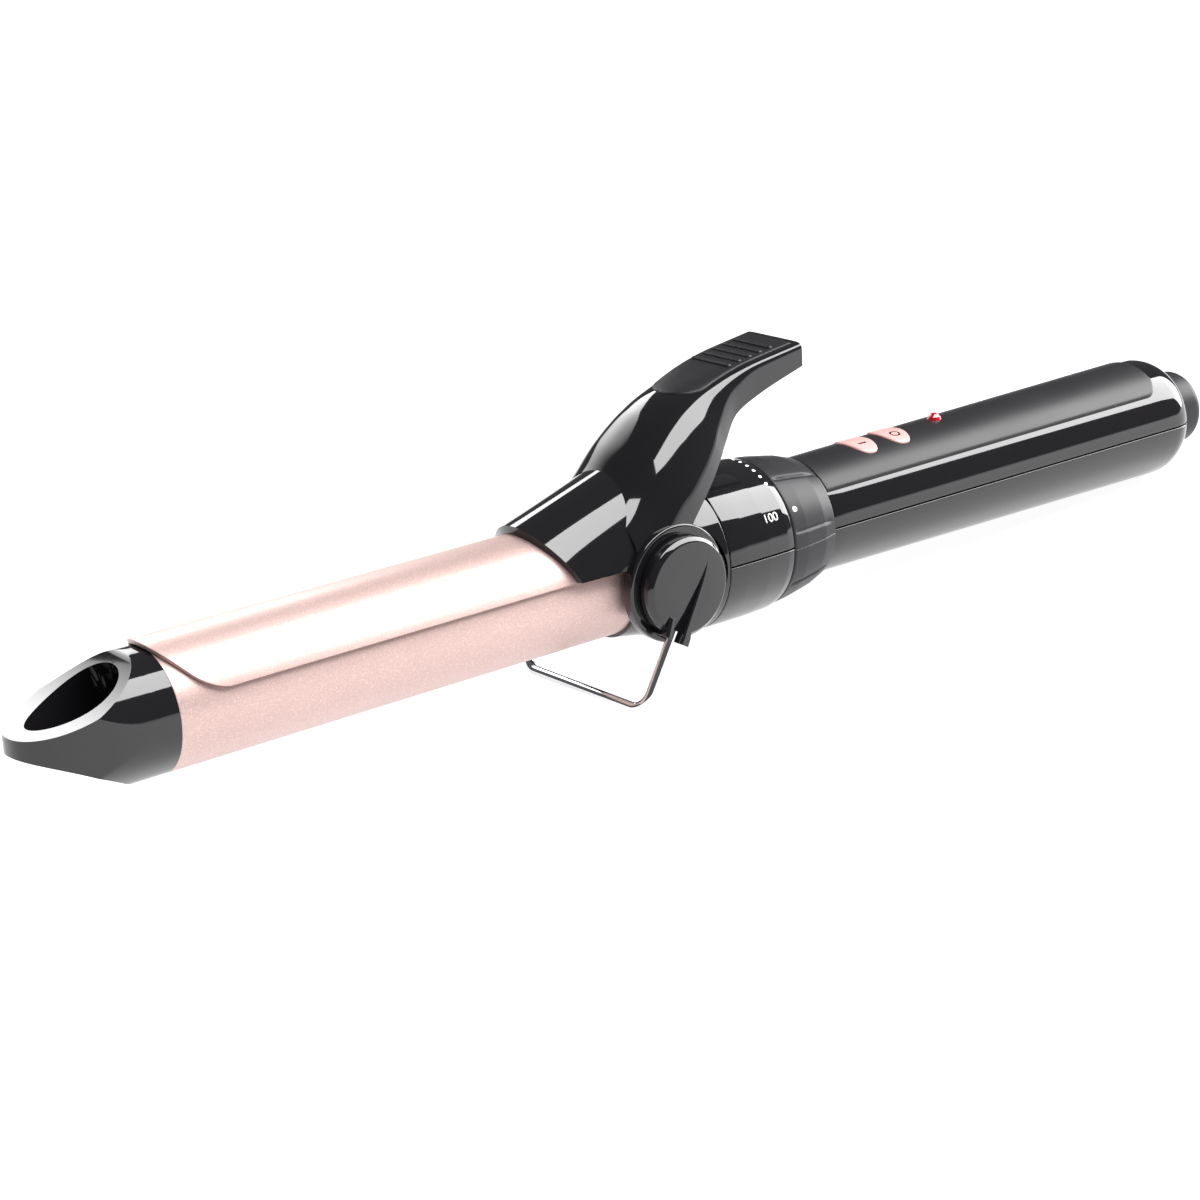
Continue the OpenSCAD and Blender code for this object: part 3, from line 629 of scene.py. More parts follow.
def settle(made, body, slot, *nodes):
    """Puts a piece on the body it rides on and hides the CAD nodes it stands for; slot, the name of its
    finish, is not used.
    """
    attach(made, body)
    if nodes:
        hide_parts(*nodes)
    return made


def filleted(corners, arc_steps=5):
    """An open outline of (a, b, radius) corners with each corner rounded by an arc."""
    points = []
    for i, (a, b, radius) in enumerate(corners):
        here = Vector((a, b))
        if radius <= 0 or i in (0, len(corners) - 1):
            points.append((a, b))
            continue
        before = Vector(corners[i - 1][:2]) - here
        after = Vector(corners[i + 1][:2]) - here
        half = before.angle(after) / 2
        run = min(radius / math.tan(half), before.length * 0.49, after.length * 0.49)
        start = here + before.normalized() * run
        end = here + after.normalized() * run
        for k in range(arc_steps + 1):
            t = k / arc_steps
            middle = start * (1 - t) ** 2 + here * (2 * t * (1 - t)) + end * t**2
            points.append(tuple(middle))
    return points


def turned(outline, steps=192, start=0.0, sweep=360.0, wave=None):
    """Points and faces of a solid turned about the barrel's axis from (x, radius) points.

    Angles run from the top towards the near side. wave(x, angle) lowers the surface.
    """
    full = sweep >= 360
    columns = steps if full else steps + 1
    points, faces = [], []
    for x, r in outline:
        for k in range(columns):
            angle = math.radians(start + sweep * k / steps)
            radius = r - (wave(x, r, angle) if wave and r > 0 else 0)
            points.append((x, -radius * math.sin(angle), radius * math.cos(angle)))
    for i in range(len(outline) - 1):
        for k in range(steps):
            n = (k + 1) % columns
            a, b = i * columns + k, i * columns + n
            faces.append((a, b, b + columns, a + columns))
    return points, faces


def ring_of(outline):
    """Closes an outline of (x, radius) points into a ring."""
    return [*outline, outline[0]]


def loft(rings, close_ring=True, cap_pairs=False):
    """Points and faces between rings of equal length; cap_pairs closes the ends with strips."""
    size = len(rings[0])
    points = [p for ring in rings for p in ring]
    faces = []
    for i in range(len(rings) - 1):
        for k in range(size if close_ring else size - 1):
            n = (k + 1) % size
            faces.append((i * size + k, i * size + n, (i + 1) * size + n, (i + 1) * size + k))
    if cap_pairs:
        half = size // 2
        for base in (0, (len(rings) - 1) * size):
            for k in range(half - 1):
                faces.append(
                    (base + k, base + k + 1, base + size - 2 - k, base + size - 1 - k)
                )
    return points, faces


def prism(outline, low, high, to_point):
    """Points and faces of an outline extruded between two places; to_point(a, b, place)."""
    rings = [[to_point(a, b, place) for a, b in outline] for place in (low, high)]
    points, faces = loft(rings)
    size = len(outline)
    faces.append(tuple(range(size)))
    faces.append(tuple(range(2 * size - 1, size - 1, -1)))
    return points, faces


def smooth_path(keys, x):
    """Height of a smooth curve through (x, height) keys, without overshoot."""
    if x <= keys[0][0]:
        return keys[0][1]
    if x >= keys[-1][0]:
        return keys[-1][1]
    slopes = [(b[1] - a[1]) / (b[0] - a[0]) for a, b in zip(keys, keys[1:])]
    tangents = [slopes[0]]
    for before, after in zip(slopes, slopes[1:]):
        product = before * after
        tangents.append(0 if product <= 0 else 2 * product / (before + after))
    tangents.append(slopes[-1])
    i = max(k for k in range(len(keys) - 1) if keys[k][0] <= x)
    (x0, y0), (x1, y1) = keys[i], keys[i + 1]
    h = x1 - x0
    t = (x - x0) / h
    return (
        y0 * (1 + 2 * t) * (1 - t) ** 2
        + tangents[i] * h * t * (1 - t) ** 2
        + y1 * t * t * (3 - 2 * t)
        + tangents[i + 1] * h * t * t * (t - 1)
    )


def rolled(near, edge, drop):
    """How far a rolled edge falls at a distance from it."""
    share = 1 - min(1.0, max(0.0, near / edge))
    return drop * (1 - math.sqrt(1 - share**2))


def steps_between(low, high, number):
    """Evenly spaced numbers from low to high."""
    return [low + (high - low) * i / (number - 1) for i in range(number)]


# ---------------------------------------------------------------- repeating by nodes


def repeat_tree():
    """Geometry nodes that repeat an item along a step and round an axis."""
    tree = bpy.data.node_groups.new("repeat_item", "GeometryNodeTree")
    face = tree.interface

    def take(name, kind, default=None):
        socket = face.new_socket(name=name, in_out="INPUT", socket_type=kind)
        if default is not None:
            socket.default_value = default

    take("Item", "NodeSocketGeometry")
    take("Count", "NodeSocketInt", 5)
    take("Step", "NodeSocketVector", (0.0, 0.0, 0.0))
    take("Turn", "NodeSocketFloat", 0.0)
    take("Axis", "NodeSocketVector", (1.0, 0.0, 0.0))
    take("Centre", "NodeSocketVector", (0.0, 0.0, 0.0))
    take("Finish", "NodeSocketMaterial")
    face.new_socket(name="Row", in_out="OUTPUT", socket_type="NodeSocketGeometry")

    def add(kind, **settings):
        made = tree.nodes.new(kind)
        for key, value in settings.items():
            setattr(made, key, value)
        return made

    def wire(source, out, target, into):
        tree.links.new(source.outputs[out], target.inputs[into])

    given = add("NodeGroupInput")
    line = add("GeometryNodeMeshLine", mode="OFFSET", count_mode="TOTAL")
    wire(given, "Count", line, "Count")
    wire(given, "Centre", line, "Start Location")
    wire(given, "Step", line, "Offset")
    back = add("ShaderNodeVectorMath", operation="SCALE")
    back.inputs["Scale"].default_value = -1.0
    wire(given, "Centre", back, 0)
    moved = add("GeometryNodeTransform")
    wire(given, "Item", moved, "Geometry")
    wire(back, "Vector", moved, "Translation")
    index = add("GeometryNodeInputIndex")
    angle = add("ShaderNodeMath", operation="MULTIPLY")
    wire(index, 0, angle, 0)
    wire(given, "Turn", angle, 1)
    turn = add("FunctionNodeAxisAngleToRotation")
    wire(given, "Axis", turn, "Axis")
    wire(angle, 0, turn, "Angle")
    placed = add("GeometryNodeInstanceOnPoints")
    wire(line, "Mesh", placed, "Points")
    wire(moved, "Geometry", placed, "Instance")
    wire(turn, "Rotation", placed, "Rotation")
    real = add("GeometryNodeRealizeInstances")
    wire(placed, "Instances", real, "Geometry")
    finish = add("GeometryNodeSetMaterial")
    wire(real, "Geometry", finish, "Geometry")
    wire(given, "Finish", finish, "Material")
    result = add("NodeGroupOutput")
    wire(finish, "Geometry", result, "Row")
    return tree


def repeated(item, **inputs):
    """Repeats an item with the node tree and returns it as one plain mesh."""
    tree = bpy.data.node_groups.get("repeat_item") or repeat_tree()
    row = item.modifiers.new("row", "NODES")
    row.node_group = tree
    for socket in tree.interface.items_tree:
        if socket.in_out == "INPUT" and socket.name in inputs:
            row[socket.identifier] = inputs[socket.name]
    return plain_mesh(item)


# ---------------------------------------------------------------- barrel, blade and tip


def make_barrel():
    """The barrel tube, its front edge turned in under the tip cap."""
    wall = 0.8
    outline = filleted([
        (BARREL_LOW.x, BARREL_R - wall, 0), (BARREL_LOW.x, BARREL_R, 0.25),
        (BARREL_HIGH.x, BARREL_R, 0), (BARREL_HIGH.x, BARREL_R - wall, 0),
    ])
    points, faces = turned(ring_of(outline), steps=256)
    barrel = blank("barrel", points, faces, "rose_gold")
    settle(barrel, "root", "rose_gold", "barrel_tube")


def make_blade(sizes):
    """The clip blade: a curved sheet with a swept front edge and rounded corners."""
    nose = sizes.blade_nose / MM
    corner = sizes.blade_corner / MM
    wall = sizes.blade_t / MM
    reach = sizes.blade_reach
    edge_r = 0.3
    half_arc = BLADE_R * reach
    columns, rows = 120, 70
    front, rear = [], []
    for i in range(columns + 1):
        u = math.sin(math.pi * (i / columns - 0.5))
        s = half_arc * u
        angle = s / BLADE_R
        y = BLADE_R * math.sin(angle)
        x = BLADE_LOW.x + nose - math.sqrt(max(nose * nose - y * y, 0))
        over = abs(s) - (half_arc - corner)
        if over > 0:
            x += corner - math.sqrt(max(corner**2 - over**2, 0))
        front.append((angle, x))
        rear.append(BLADE_HIGH.x)

    def sheet_point(i, x, r):
        angle = front[i][0]
        return (x, -r * math.sin(angle), r * math.cos(angle))

    rings = []
    for i in range(columns + 1):
        x0, x1 = front[i][1], rear[i]
        outer = [x0 + (x1 - x0) * (k / rows) ** 1.6 for k in range(rows + 1)]
        ring = [sheet_point(i, x, BLADE_R) for x in outer]
        ring += [sheet_point(i, x, BLADE_R - wall) for x in reversed(outer)]
        rings.append(ring)
    points, faces = loft(rings, cap_pairs=True)
    blade = blank("clip_sheet", points, faces, "rose_gold", smooth=40)
    bevel(blade, edge_r * 0.6, angle=50, segments=2)
    settle(blade, "clip", "rose_gold", "clip_blade")


def tip_faces(sizes):
    """The heights of the tip's scooped rim and underside, as two functions of the place."""
    rim_x = BARREL_LOW.x - sizes.tip_straight / MM
    chin_x = rim_x - 2.7
    rim_r, chin_r = sizes.rim_scoop / MM, sizes.chin_scoop / MM
    rim_mid, chin_mid = TIP_LOW.x - 4.4, TIP_LOW.x - 23.1
    rim_z = BARREL_R + math.sqrt(rim_r**2 - (rim_x - rim_mid) ** 2)
    chin_z = -BARREL_R - math.sqrt(chin_r**2 - (chin_x - chin_mid) ** 2)

    def top(x):
        return rim_z - math.sqrt(rim_r**2 - (min(x, rim_x) - rim_mid) ** 2)

    def low(x):
        return chin_z + math.sqrt(chin_r**2 - (min(x, chin_x) - chin_mid) ** 2)

    return rim_x, top, low


def tip_section(x, sizes):
    """Closed outline of the solid tip at a place along it, from the rim's middle round."""
    rim_x, top_of, low_of = tip_faces(sizes)
    top, low = top_of(x), low_of(x)
    wide_x = rim_x - 1.5
    reach = min(1.0, max(0.0, (wide_x - x) / (wide_x - TIP_LOW.x)))
    half = max(0.02, BARREL_R * math.sqrt(1 - reach**2) ** 0.9)

    def side(z):
        return min(half, math.sqrt(max(BARREL_R**2 - z * z, 0)))

    y_top, y_low = side(top), side(low)
    flat, wall = 8, 26
    half_ring = [(x, y_top * k / flat, top) for k in range(flat)]
    for k in range(wall + 1):
        z = (top + low) / 2 + (top - low) / 2 * math.cos(math.pi * k / wall)
        half_ring.append((x, side(z), z))
    half_ring += [(x, y_low * (1 - k / flat), low) for k in range(1, flat + 1)]
    other = [(px, -py, pz) for px, py, pz in reversed(half_ring[1:-1])]
    return half_ring + other


def make_tip(sizes):
    """The tip cap: a turned cap with a scooped rim, a hollow and a rising underside."""
    rim_x, top_of, low_of = tip_faces(sizes)
    stations = steps_between(BARREL_LOW.x - 0.02, rim_x + 0.3, 5)
    run = rim_x + 0.3 - TIP_LOW.x
    stations += [rim_x + 0.3 - run * (1 - (1 - t) ** 1.9) for t in steps_between(0.02, 0.9998, 76)]
    points, faces = loft([tip_section(x, sizes) for x in stations])
    size = len(tip_section(stations[0], sizes))
    faces.append(tuple(range(size)))
    faces.append(tuple(range(len(points) - 1, len(points) - 1 - size, -1)))
    tip = blank("tip_shell", points, faces, "gloss_black", smooth=32)
    nose_top = top_of(TIP_LOW.x)
    slope = math.atan2(BARREL_R - nose_top, rim_x - TIP_LOW.x)
    middle = ((rim_x + TIP_LOW.x) / 2 + 0.5, (BARREL_R + nose_top) / 2)
    half_len, half_w, skew = sizes.hollow_len / MM, sizes.hollow_w / MM, 0.2
    floor_t, number = 1.8, 96

    def place(u, y, height):
        return (
            middle[0] + u * math.cos(slope) - height * math.sin(slope),
            y,
            middle[1] + u * math.sin(slope) + height * math.cos(slope),
        )

    def bottom(u, y):
        """Lowest point of the hollow under a point of its outline."""
        height = 0.0
        while height > -12.5:
            x, _, z = place(u, y, height)
            if z < low_of(x) + floor_t:
                break
            height -= 0.1
        return height

    egg = []
    for k in range(number):
        t = 2 * math.pi * k / number
        egg.append((half_len * math.cos(t), half_w * math.sin(t) * (1 + skew * math.cos(t))))
    rings = [[place(u, y, 4.0) for u, y in egg]]
    for share in (0.5, 1.0):
        rings.append([place(u, y, 4.0 + (bottom(u, y) - 4.0) * share) for u, y in egg])
    rings += [
        [place(u * k, y * k, bottom(u * k, y * k)) for u, y in egg] for k in (0.8, 0.5, 0.2)
    ]
    points, faces = loft(rings)
    faces.append(tuple(range(number)))
    faces.append(tuple(range(len(points) - 1, len(points) - 1 - number, -1)))
    cut(tip, blank("tip_hollow_cutter", points, faces))
    bevel(tip, 0.3, angle=34, segments=3)
    settle(tip, "root", "gloss_black", "tip_cap")


# ---------------------------------------------------------------- lever

# Sections of the arm from its foot to the pad's rear: crown (x, z), lower edge (x, z), half
# width, and how square the section is.
ARM = (
    (-10.5, 18.0, -8.0, 1.0, 16.2, 2.3),
    (-6.7, 21.5, 1.0, 6.0, 16.2, 2.3),
    (-1.3, 26.8, 6.0, 12.8, 15.9, 2.3),
    (5.6, 32.4, 11.5, 18.2, 14.6, 2.3),
    (10.5, 35.1, 15.5, 22.0, 13.0, 2.4),
    (16.0, 36.9, 19.2, 25.4, 11.0, 2.9),
    (24.6, 38.9, 24.0, 30.0, 9.3, 5.5),
    (31.7, 40.0, 31.3, 33.0, 9.0, 10.0),
    (42.9, 41.5, 42.9, 36.4, 9.0, 10.0),
)


def arm_section(s):
    """The arm's section at a place between its first (0) and last (8) listed sections."""
    return [smooth_path([(i, row[k]) for i, row in enumerate(ARM)], s) for k in range(6)]


ARM_STEPS = [arm_section(i / 30) for i in range(30 * len(ARM) - 29)]


def arm_height(x, y, offset=0.0):
    """Height of the arm's outer surface at a place on it."""
    def on_surface(i):
        crown_x, crown_z, edge_x, edge_z, half, box = ARM_STEPS[i]
        share = (1 - min(1.0, abs(y) / half) ** box) ** (1 / box)
        return edge_x + (crown_x - edge_x) * share, edge_z + (crown_z - edge_z) * share

    low, high = 0, len(ARM_STEPS) - 1
    while high - low > 1:
        middle = (low + high) // 2
        if on_surface(middle)[0] < x:
            low = middle
        else:
            high = middle
    (x0, z0), (x1, z1) = on_surface(low), on_surface(high)
    return z0 + (z1 - z0) * (x - x0) / (x1 - x0) + offset


def arm_ring(s, sizes, samples):
    """One closed section of the arm: outer arch out and inner arch back."""
    wall = sizes.wall / MM
    crown_x, crown_z, edge_x, edge_z, half, box = arm_section(s)
    deep = math.hypot(crown_x - edge_x, crown_z - edge_z)
    # Towards the thumb pad the hollow under the arm closes into solid plastic.
    hollow = max(0.0, min(1.0, (5.6 - s) / 0.6)) * (deep - wall) / deep
    outer, inner = [], []
    for t in samples:
        side = math.copysign(abs(math.sin(t)) ** (2 / box), math.sin(t))
        rise = max(math.cos(t), 0.0) ** (2 / box)
        outer.append((
            edge_x + (crown_x - edge_x) * rise,
            half * side,
            edge_z + (crown_z - edge_z) * rise,
        ))
        inner.append((
            edge_x + (crown_x - edge_x) * rise * hollow,
            (half - wall * 0.9) * side,
            edge_z + (crown_z - edge_z) * rise * hollow,
        ))
    return outer + inner[::-1]


def saddle_ring(place, sizes, samples):
    """One closed section of the saddle; place runs from 0 at the front to 1 at its lip."""
    share = min(1.0, place)
    lip = max(0.0, place - 1.0)
    front_x = -sizes.saddle_front / MM
    front_r = sizes.saddle_r / MM
    sweep_r, edge_z = 21.0, 5.2
    high = front_r + (22.9 - front_r) * share
    half = front_r + (15.2 - front_r) * share
    box = 1.9 + 0.3 * share**1.5
    limit = math.acos((edge_z / high) ** (box / 2))
    outer, inner = [], []
    for t in samples:
        a = limit * t / (math.pi / 2)
        side = math.copysign(abs(math.sin(a)) ** (2 / box), math.sin(a))
        rise = math.cos(a) ** (2 / box)
        y = half * side
        start = front_x + sweep_r - math.sqrt(sweep_r**2 - y * y)
        end = -3.6 - 4.6 * abs(math.sin(a)) ** 3
        x = start + (end - start) * share
        # The lip rolls over to the rear and then drops to the arm.
        roll = min(lip, 1.0) * math.pi / 2
        drop = 0.9 * (1 - math.cos(roll)) + 4.0 * max(0.0, lip - 1.0)
        x_lip = x + 0.9 * math.sin(roll)
        outer.append((x_lip, y * (1 - drop / 22), (high - drop) * rise))
        under = BLADE_R + 0.03 + max(0.0, min(high - 3.0 - BLADE_R, (x + 12) * 0.5))
        side_r = min(half - 1.6, BLADE_R + 0.03)
        turn = min(a, 1.2) if a > 0 else max(a, -1.2)
        inner.append((x_lip, side_r * math.sin(turn), under * math.cos(turn)))
    return outer + inner[::-1]


def make_lever(sizes):
    """The lever: a saddle over the blade, an arched arm with a thumb pad, and two ears."""
    samples = steps_between(-math.pi / 2, math.pi / 2, 81)
    last = len(ARM) - 1
    rings = [arm_ring(s, sizes, samples) for s in steps_between(0, last, 90)]
    points, faces = loft(rings, cap_pairs=True)
    lever = blank("lever_arch", points, faces, "gloss_black", smooth=34)
    bevel(lever, 0.42, angle=42, segments=3)
    places = steps_between(0, 1, 30) + steps_between(1.15, 2, 6) + [2.5]
    rings = [saddle_ring(place, sizes, samples) for place in places]
    points, faces = loft(rings, cap_pairs=True)
    saddle = blank("saddle", points, faces, "gloss_black", smooth=34)
    bevel(saddle, 0.4, angle=42, segments=3)
    ears = []
    for side in (-1, 1):
        outline = filleted([
            (0, EAR_Y - 2.8, 0), (EAR_R, EAR_Y - 2.8, 0.3), (EAR_R, EAR_Y, 0.7), (0, EAR_Y, 0),
        ])
        points, faces = turned_across(outline, side, 120)
        ears.append(blank(f"ear_{side}", points, faces, "gloss_black"))
    join(lever, saddle, *ears)
    lever.name = "lever"
    settle(lever, "clip", "gloss_black", "clip_lever")


def turned_across(outline, side, steps=120, centre=(0.0, 0.0)):
    """A solid turned about the pivot's axis from (radius, distance out) points."""
    points, faces = [], []
    for r, y in outline:
        for k in range(steps):
            angle = 2 * math.pi * k / steps
            points.append(
                (centre[0] + r * math.cos(angle), side * y, centre[1] + r * math.sin(angle))
            )
    for i in range(len(outline) - 1):
        for k in range(steps):
            n = (k + 1) % steps
            a, b = i * steps + k, i * steps + n
            faces.append((a, b, b + steps, a + steps))
    return points, faces


def make_thumb_pad(sizes):
    """The soft inlay on the arm with its half round front, and the ribs across it."""
    half = sizes.inlay_half / MM
    front = sizes.inlay_front / MM
    rear = LEVER_HIGH.x - 1.3
    rise, edge = 0.28, 0.4
    rows = [front + (rear - front) * t for t in steps_between(0, 1, 90)]
    fine = [0.0, 0.03, 0.10, 0.22, edge]
    rings = []
    for x in rows:
        ahead = max(0.0, front + half - x)
        w = math.sqrt(max(half * half - ahead * ahead, 0.0))
        w = max(w, 0.05)
        across = [-w + f * min(1, w) for f in fine] + steps_between(-w + edge, w - edge, 27)[1:-1]
        across += [w - f * min(1, w) for f in reversed(fine)]
        ring = []
        for y in across:
            near = min(w - abs(y), rear - x)
            drop = rolled(near, edge, rise * 1.4)
            ring.append((x, y, arm_height(x, y, rise - drop)))
        rings.append(ring + [(px, py, arm_height(px, py, -0.5)) for px, py, _ in reversed(ring)])
    points, faces = loft(rings, cap_pairs=True)
    inlay = blank("thumb_inlay", points, faces, "soft_black", smooth=45)
    first = sizes.rib_first / MM
    pitch = sizes.rib_pitch / MM
    rib_half, rib_r, rib_h = half * 0.86, 0.62, 0.55
    rib_rings = []
    for k in range(41):
        t = -1 + 2 * k / 40
        y = rib_half * t
        taper = math.sqrt(max(1 - max(0.0, (abs(t) - 0.9) / 0.1) ** 2, 0.0))
        base = arm_height(first, 0) + rise - 0.1
        rib_rings.append([
            (
                first + rib_r * taper * math.cos(a),
                y,
                base + (rib_h * taper * math.sin(a) if math.sin(a) > 0 else 0.2 * math.sin(a)),
            )
            for a in (2 * math.pi * n / 20 for n in range(20))
        ])
    points, faces = loft(rib_rings)
    rib = blank("thumb_ribs", points, faces, "soft_black", smooth=60)
    last = first + pitch * (sizes.ribs - 1)
    climb = (arm_height(last, 0) - arm_height(first, 0)) / (last - first)
    step = (ALONG * pitch + UP * pitch * climb) * MM
    repeated(rib, Count=sizes.ribs, Step=step, Finish=MATERIALS["soft_black"])
    join(inlay, rib)
    inlay.name = "thumb_pad_inlay"
    settle(inlay, "clip", "soft_black", "thumb_pad")


# ---------------------------------------------------------------- stand


def make_stand(sizes):
    """The wire stand: a chromed U bent from one round wire."""
    reach, bend_r = sizes.reach / MM, sizes.bend_r / MM
    wire_r = sizes.wire_d / MM / 2
    half = WIRE_HIGH.y - 1.25
    path = [(half, -9.4), (half, -reach + bend_r)]
    for k in range(1, 13):
        a = math.pi / 2 * k / 12
        path.append((half - bend_r + bend_r * math.cos(a), -reach + bend_r - bend_r * math.sin(a)))
    path += [(y, -reach) for y in steps_between(half - bend_r - 0.5, 0, 8)]
    path += [(-y, z) for y, z in reversed(path[:-1])]
    sides, rings = 28, []
    for i, (y, z) in enumerate(path):
        y0, z0 = path[max(i - 1, 0)]
        y1, z1 = path[min(i + 1, len(path) - 1)]
        ahead = Vector((0, y1 - y0, z1 - z0)).normalized()
        out = Vector((1, 0, 0))
        side = ahead.cross(out)
        ring = []
        for k in range(sides):
            a = 2 * math.pi * k / sides
            ring.append(lean_back(
                Vector((0, y, z)) + wire_r * (math.cos(a) * out + math.sin(a) * side), sizes
            ))
        rings.append(ring)
    points, faces = loft(rings)
    faces.append(tuple(range(sides)))
    faces.append(tuple(range(len(points) - 1, len(points) - 1 - sides, -1)))
    wire = blank("stand_bow", points, faces, "chrome")
    settle(wire, "stand", "chrome", "stand_wire")


def lean_back(point, sizes):
    """Turns a point of the stand about the pivot by the legs' lean."""
    lean = sizes.lean
    x, y, z = point
    return (x * math.cos(lean) + z * math.sin(lean), y, -x * math.sin(lean) + z * math.cos(lean))


def make_hub(sizes, side, name, node):
    """A stand hub: a rounded disc, a wedge fin and two prongs that hold the wire."""
    inner_y, outer_y = HUB_LOW.y, HUB_LOW.y + 3.5
    rise = HUB_HIGH.y - outer_y
    r = sizes.hub_r / MM
    outline = filleted([
        (0, inner_y, 0), (r - 0.4, inner_y, 0), (r, inner_y + 0.5, 0.3), (r, outer_y - 0.9, 0.9),
        (r - 1.0, outer_y, 0.8), (r - 5, outer_y + 0.25, 5), (0, outer_y + 0.3, 0),
    ])
    points, faces = turned_across(outline, side, 144)
    disc = blank(name, [lean_back(p, sizes) for p in points], faces, "gloss_black", smooth=40)
    wire_r = sizes.wire_d / MM / 2
    parts = []
    low, top = -11.6, 7.2
    # Fin: narrow and flush at its top, wide and proud at the prong.
    fin_rings = []
    for t in steps_between(0, 1, 24):
        z = low + (top - low) * t
        left = wire_r + 0.05 + 1.0 * t
        right = 3.6 - 1.5 * t
        proud = outer_y + rise * (1 - t) ** 0.75 if t > 0.12 else outer_y + rise
        lean_in = 0.55
        fin_rings.append([
            (left, inner_y + 0.4, z), (right, inner_y + 0.4, z),
            (right, proud - 0.5, z), (right - lean_in * (1 - t * 0.5), proud, z),
            (left + 0.25, proud, z), (left, proud - 0.3, z),
        ])
    # Short prong on the wire's other side
    prong_rings = []
    for t in steps_between(0, 1, 10):
        z = low + 0.3 + 4.2 * t
        proud = outer_y + rise * (0.72 - 0.4 * t)
        prong_rings.append([
            (-wire_r - 1.6, inner_y + 0.4, z), (-wire_r - 0.05, inner_y + 0.4, z),
            (-wire_r - 0.05, proud - 0.2, z), (-wire_r - 0.25, proud, z),
            (-wire_r - 1.2, proud, z), (-wire_r - 1.6, proud - 0.5, z),
        ])
    # Bridge behind the wire that carries the prongs
    bridge = [
        [(-wire_r - 1.4, y, z), (3.4, y, z), (3.4, y2, z), (-wire_r - 1.4, y2, z)]
        for z in (low + 0.8, -7.0)
        for y, y2 in ((inner_y + 0.2, outer_y - 1.9),)
    ]
    for label, rings in (("fin", fin_rings), ("prong", prong_rings), ("bridge", bridge)):
        placed = [
            [lean_back((x, side * y, z), sizes) for x, y, z in ring] for ring in rings
        ]
        points, faces = loft(placed)
        size = len(placed[0])
        faces.append(tuple(range(size)))
        faces.append(tuple(range(len(points) - 1, len(points) - 1 - size, -1)))
        part = blank(f"{name}_{label}", points, faces, "gloss_black", smooth=25)
        parts.append(bevel(part, 0.14, angle=25, segments=2))
    join(disc, *parts)
    settle(disc, "stand", "gloss_black", node)


# ---------------------------------------------------------------- collar, shells and dial


def make_collar(sizes):
    """The front collar: a flaring sleeve with a round pocket each side for the ears."""
    edge = sizes.edge / MM
    front_r = BARREL_R + 0.7
    rear_r = HOUSING_R - 0.1
    body = [
        (COLLAR_LOW.x, BARREL_R + 0.02, 0), (COLLAR_LOW.x, front_r, 0.45),
        (COLLAR_LOW.x + 6, front_r + 0.95, 4), (COLLAR_LOW.x + 11, rear_r - 1.5, 6),
        (COLLAR_LOW.x + 16.5, rear_r - 0.55, 5), (HOUSING_X - 0.06, rear_r, edge),
        (HOUSING_X - 0.06, rear_r - 3, 0), (BARREL_HIGH.x + 2, BARREL_R - 2, 0),
        (BARREL_HIGH.x + 2, BARREL_R + 0.02, 0),
    ]
    points, faces = turned(ring_of(filleted(body, 8)), steps=192)
    collar = blank("collar", points, faces, "gloss_black")
    pocket_r, face_y = EAR_R + 0.7, BARREL_R + 0.8
    cutters = []
    for side in (-1, 1):
        outline = [(0, face_y), (pocket_r, face_y), (pocket_r, 30), (0, 30)]
        points, faces = turned_across(outline, side, 128)
        cutters.append(blank(f"pocket_cutter_{side}", points, faces))
    cut(collar, *cutters)
    bevel(collar, 0.22, angle=40, segments=2)
    settle(collar, "root", "gloss_black", "front_collar")


def grip_r(x, sizes):
    """Radius of the grip at a place along it."""
    front, rear = sizes.grip_front_r / MM, sizes.grip_rear_r / MM
    start, end = GRIP_X, GRIP_END_X - 6.8
    return front + (rear - front) * min(1.0, max(0.0, (x - start) / (end - start)))


def shell_outline(sizes):
    """Outside of the shells as (x, radius, fillet) corners, from the front to the rear."""
    edge = sizes.edge / MM
    neck = sizes.neck_r / MM
    end_r = KNOB_R + 0.2
    rear_r = sizes.grip_rear_r / MM
    round_r = sizes.shoulder_r / MM
    drop = rear_r - end_r
    turn = math.acos(1 - drop / round_r)
    start = GRIP_END_X - round_r * math.sin(turn)
    corners = [
        (HOUSING_X + 0.06, HOUSING_R - 3, 0), (HOUSING_X + 0.06, HOUSING_R - 0.1, edge),
        (HOUSING_X + 5, HOUSING_R, 3), (HOUSING_X + 11, HOUSING_R, 3),
        (HOUSING_END_X - 1.8, HOUSING_R - 0.2, 1.5), (HOUSING_END_X, HOUSING_R - 0.5, edge),
        (HOUSING_END_X, neck, 0), (GRIP_X, neck, 0), (GRIP_X, grip_r(GRIP_X, sizes), edge),
    ]
    corners += [
        (start + round_r * math.sin(a), rear_r - round_r * (1 - math.cos(a)), 0)
        for a in steps_between(0, turn * 0.98, 10)
    ]
    corners += [(GRIP_END_X - 0.15, end_r, 0.2), (GRIP_END_X, end_r - 0.6, 0)]
    return filleted(corners)


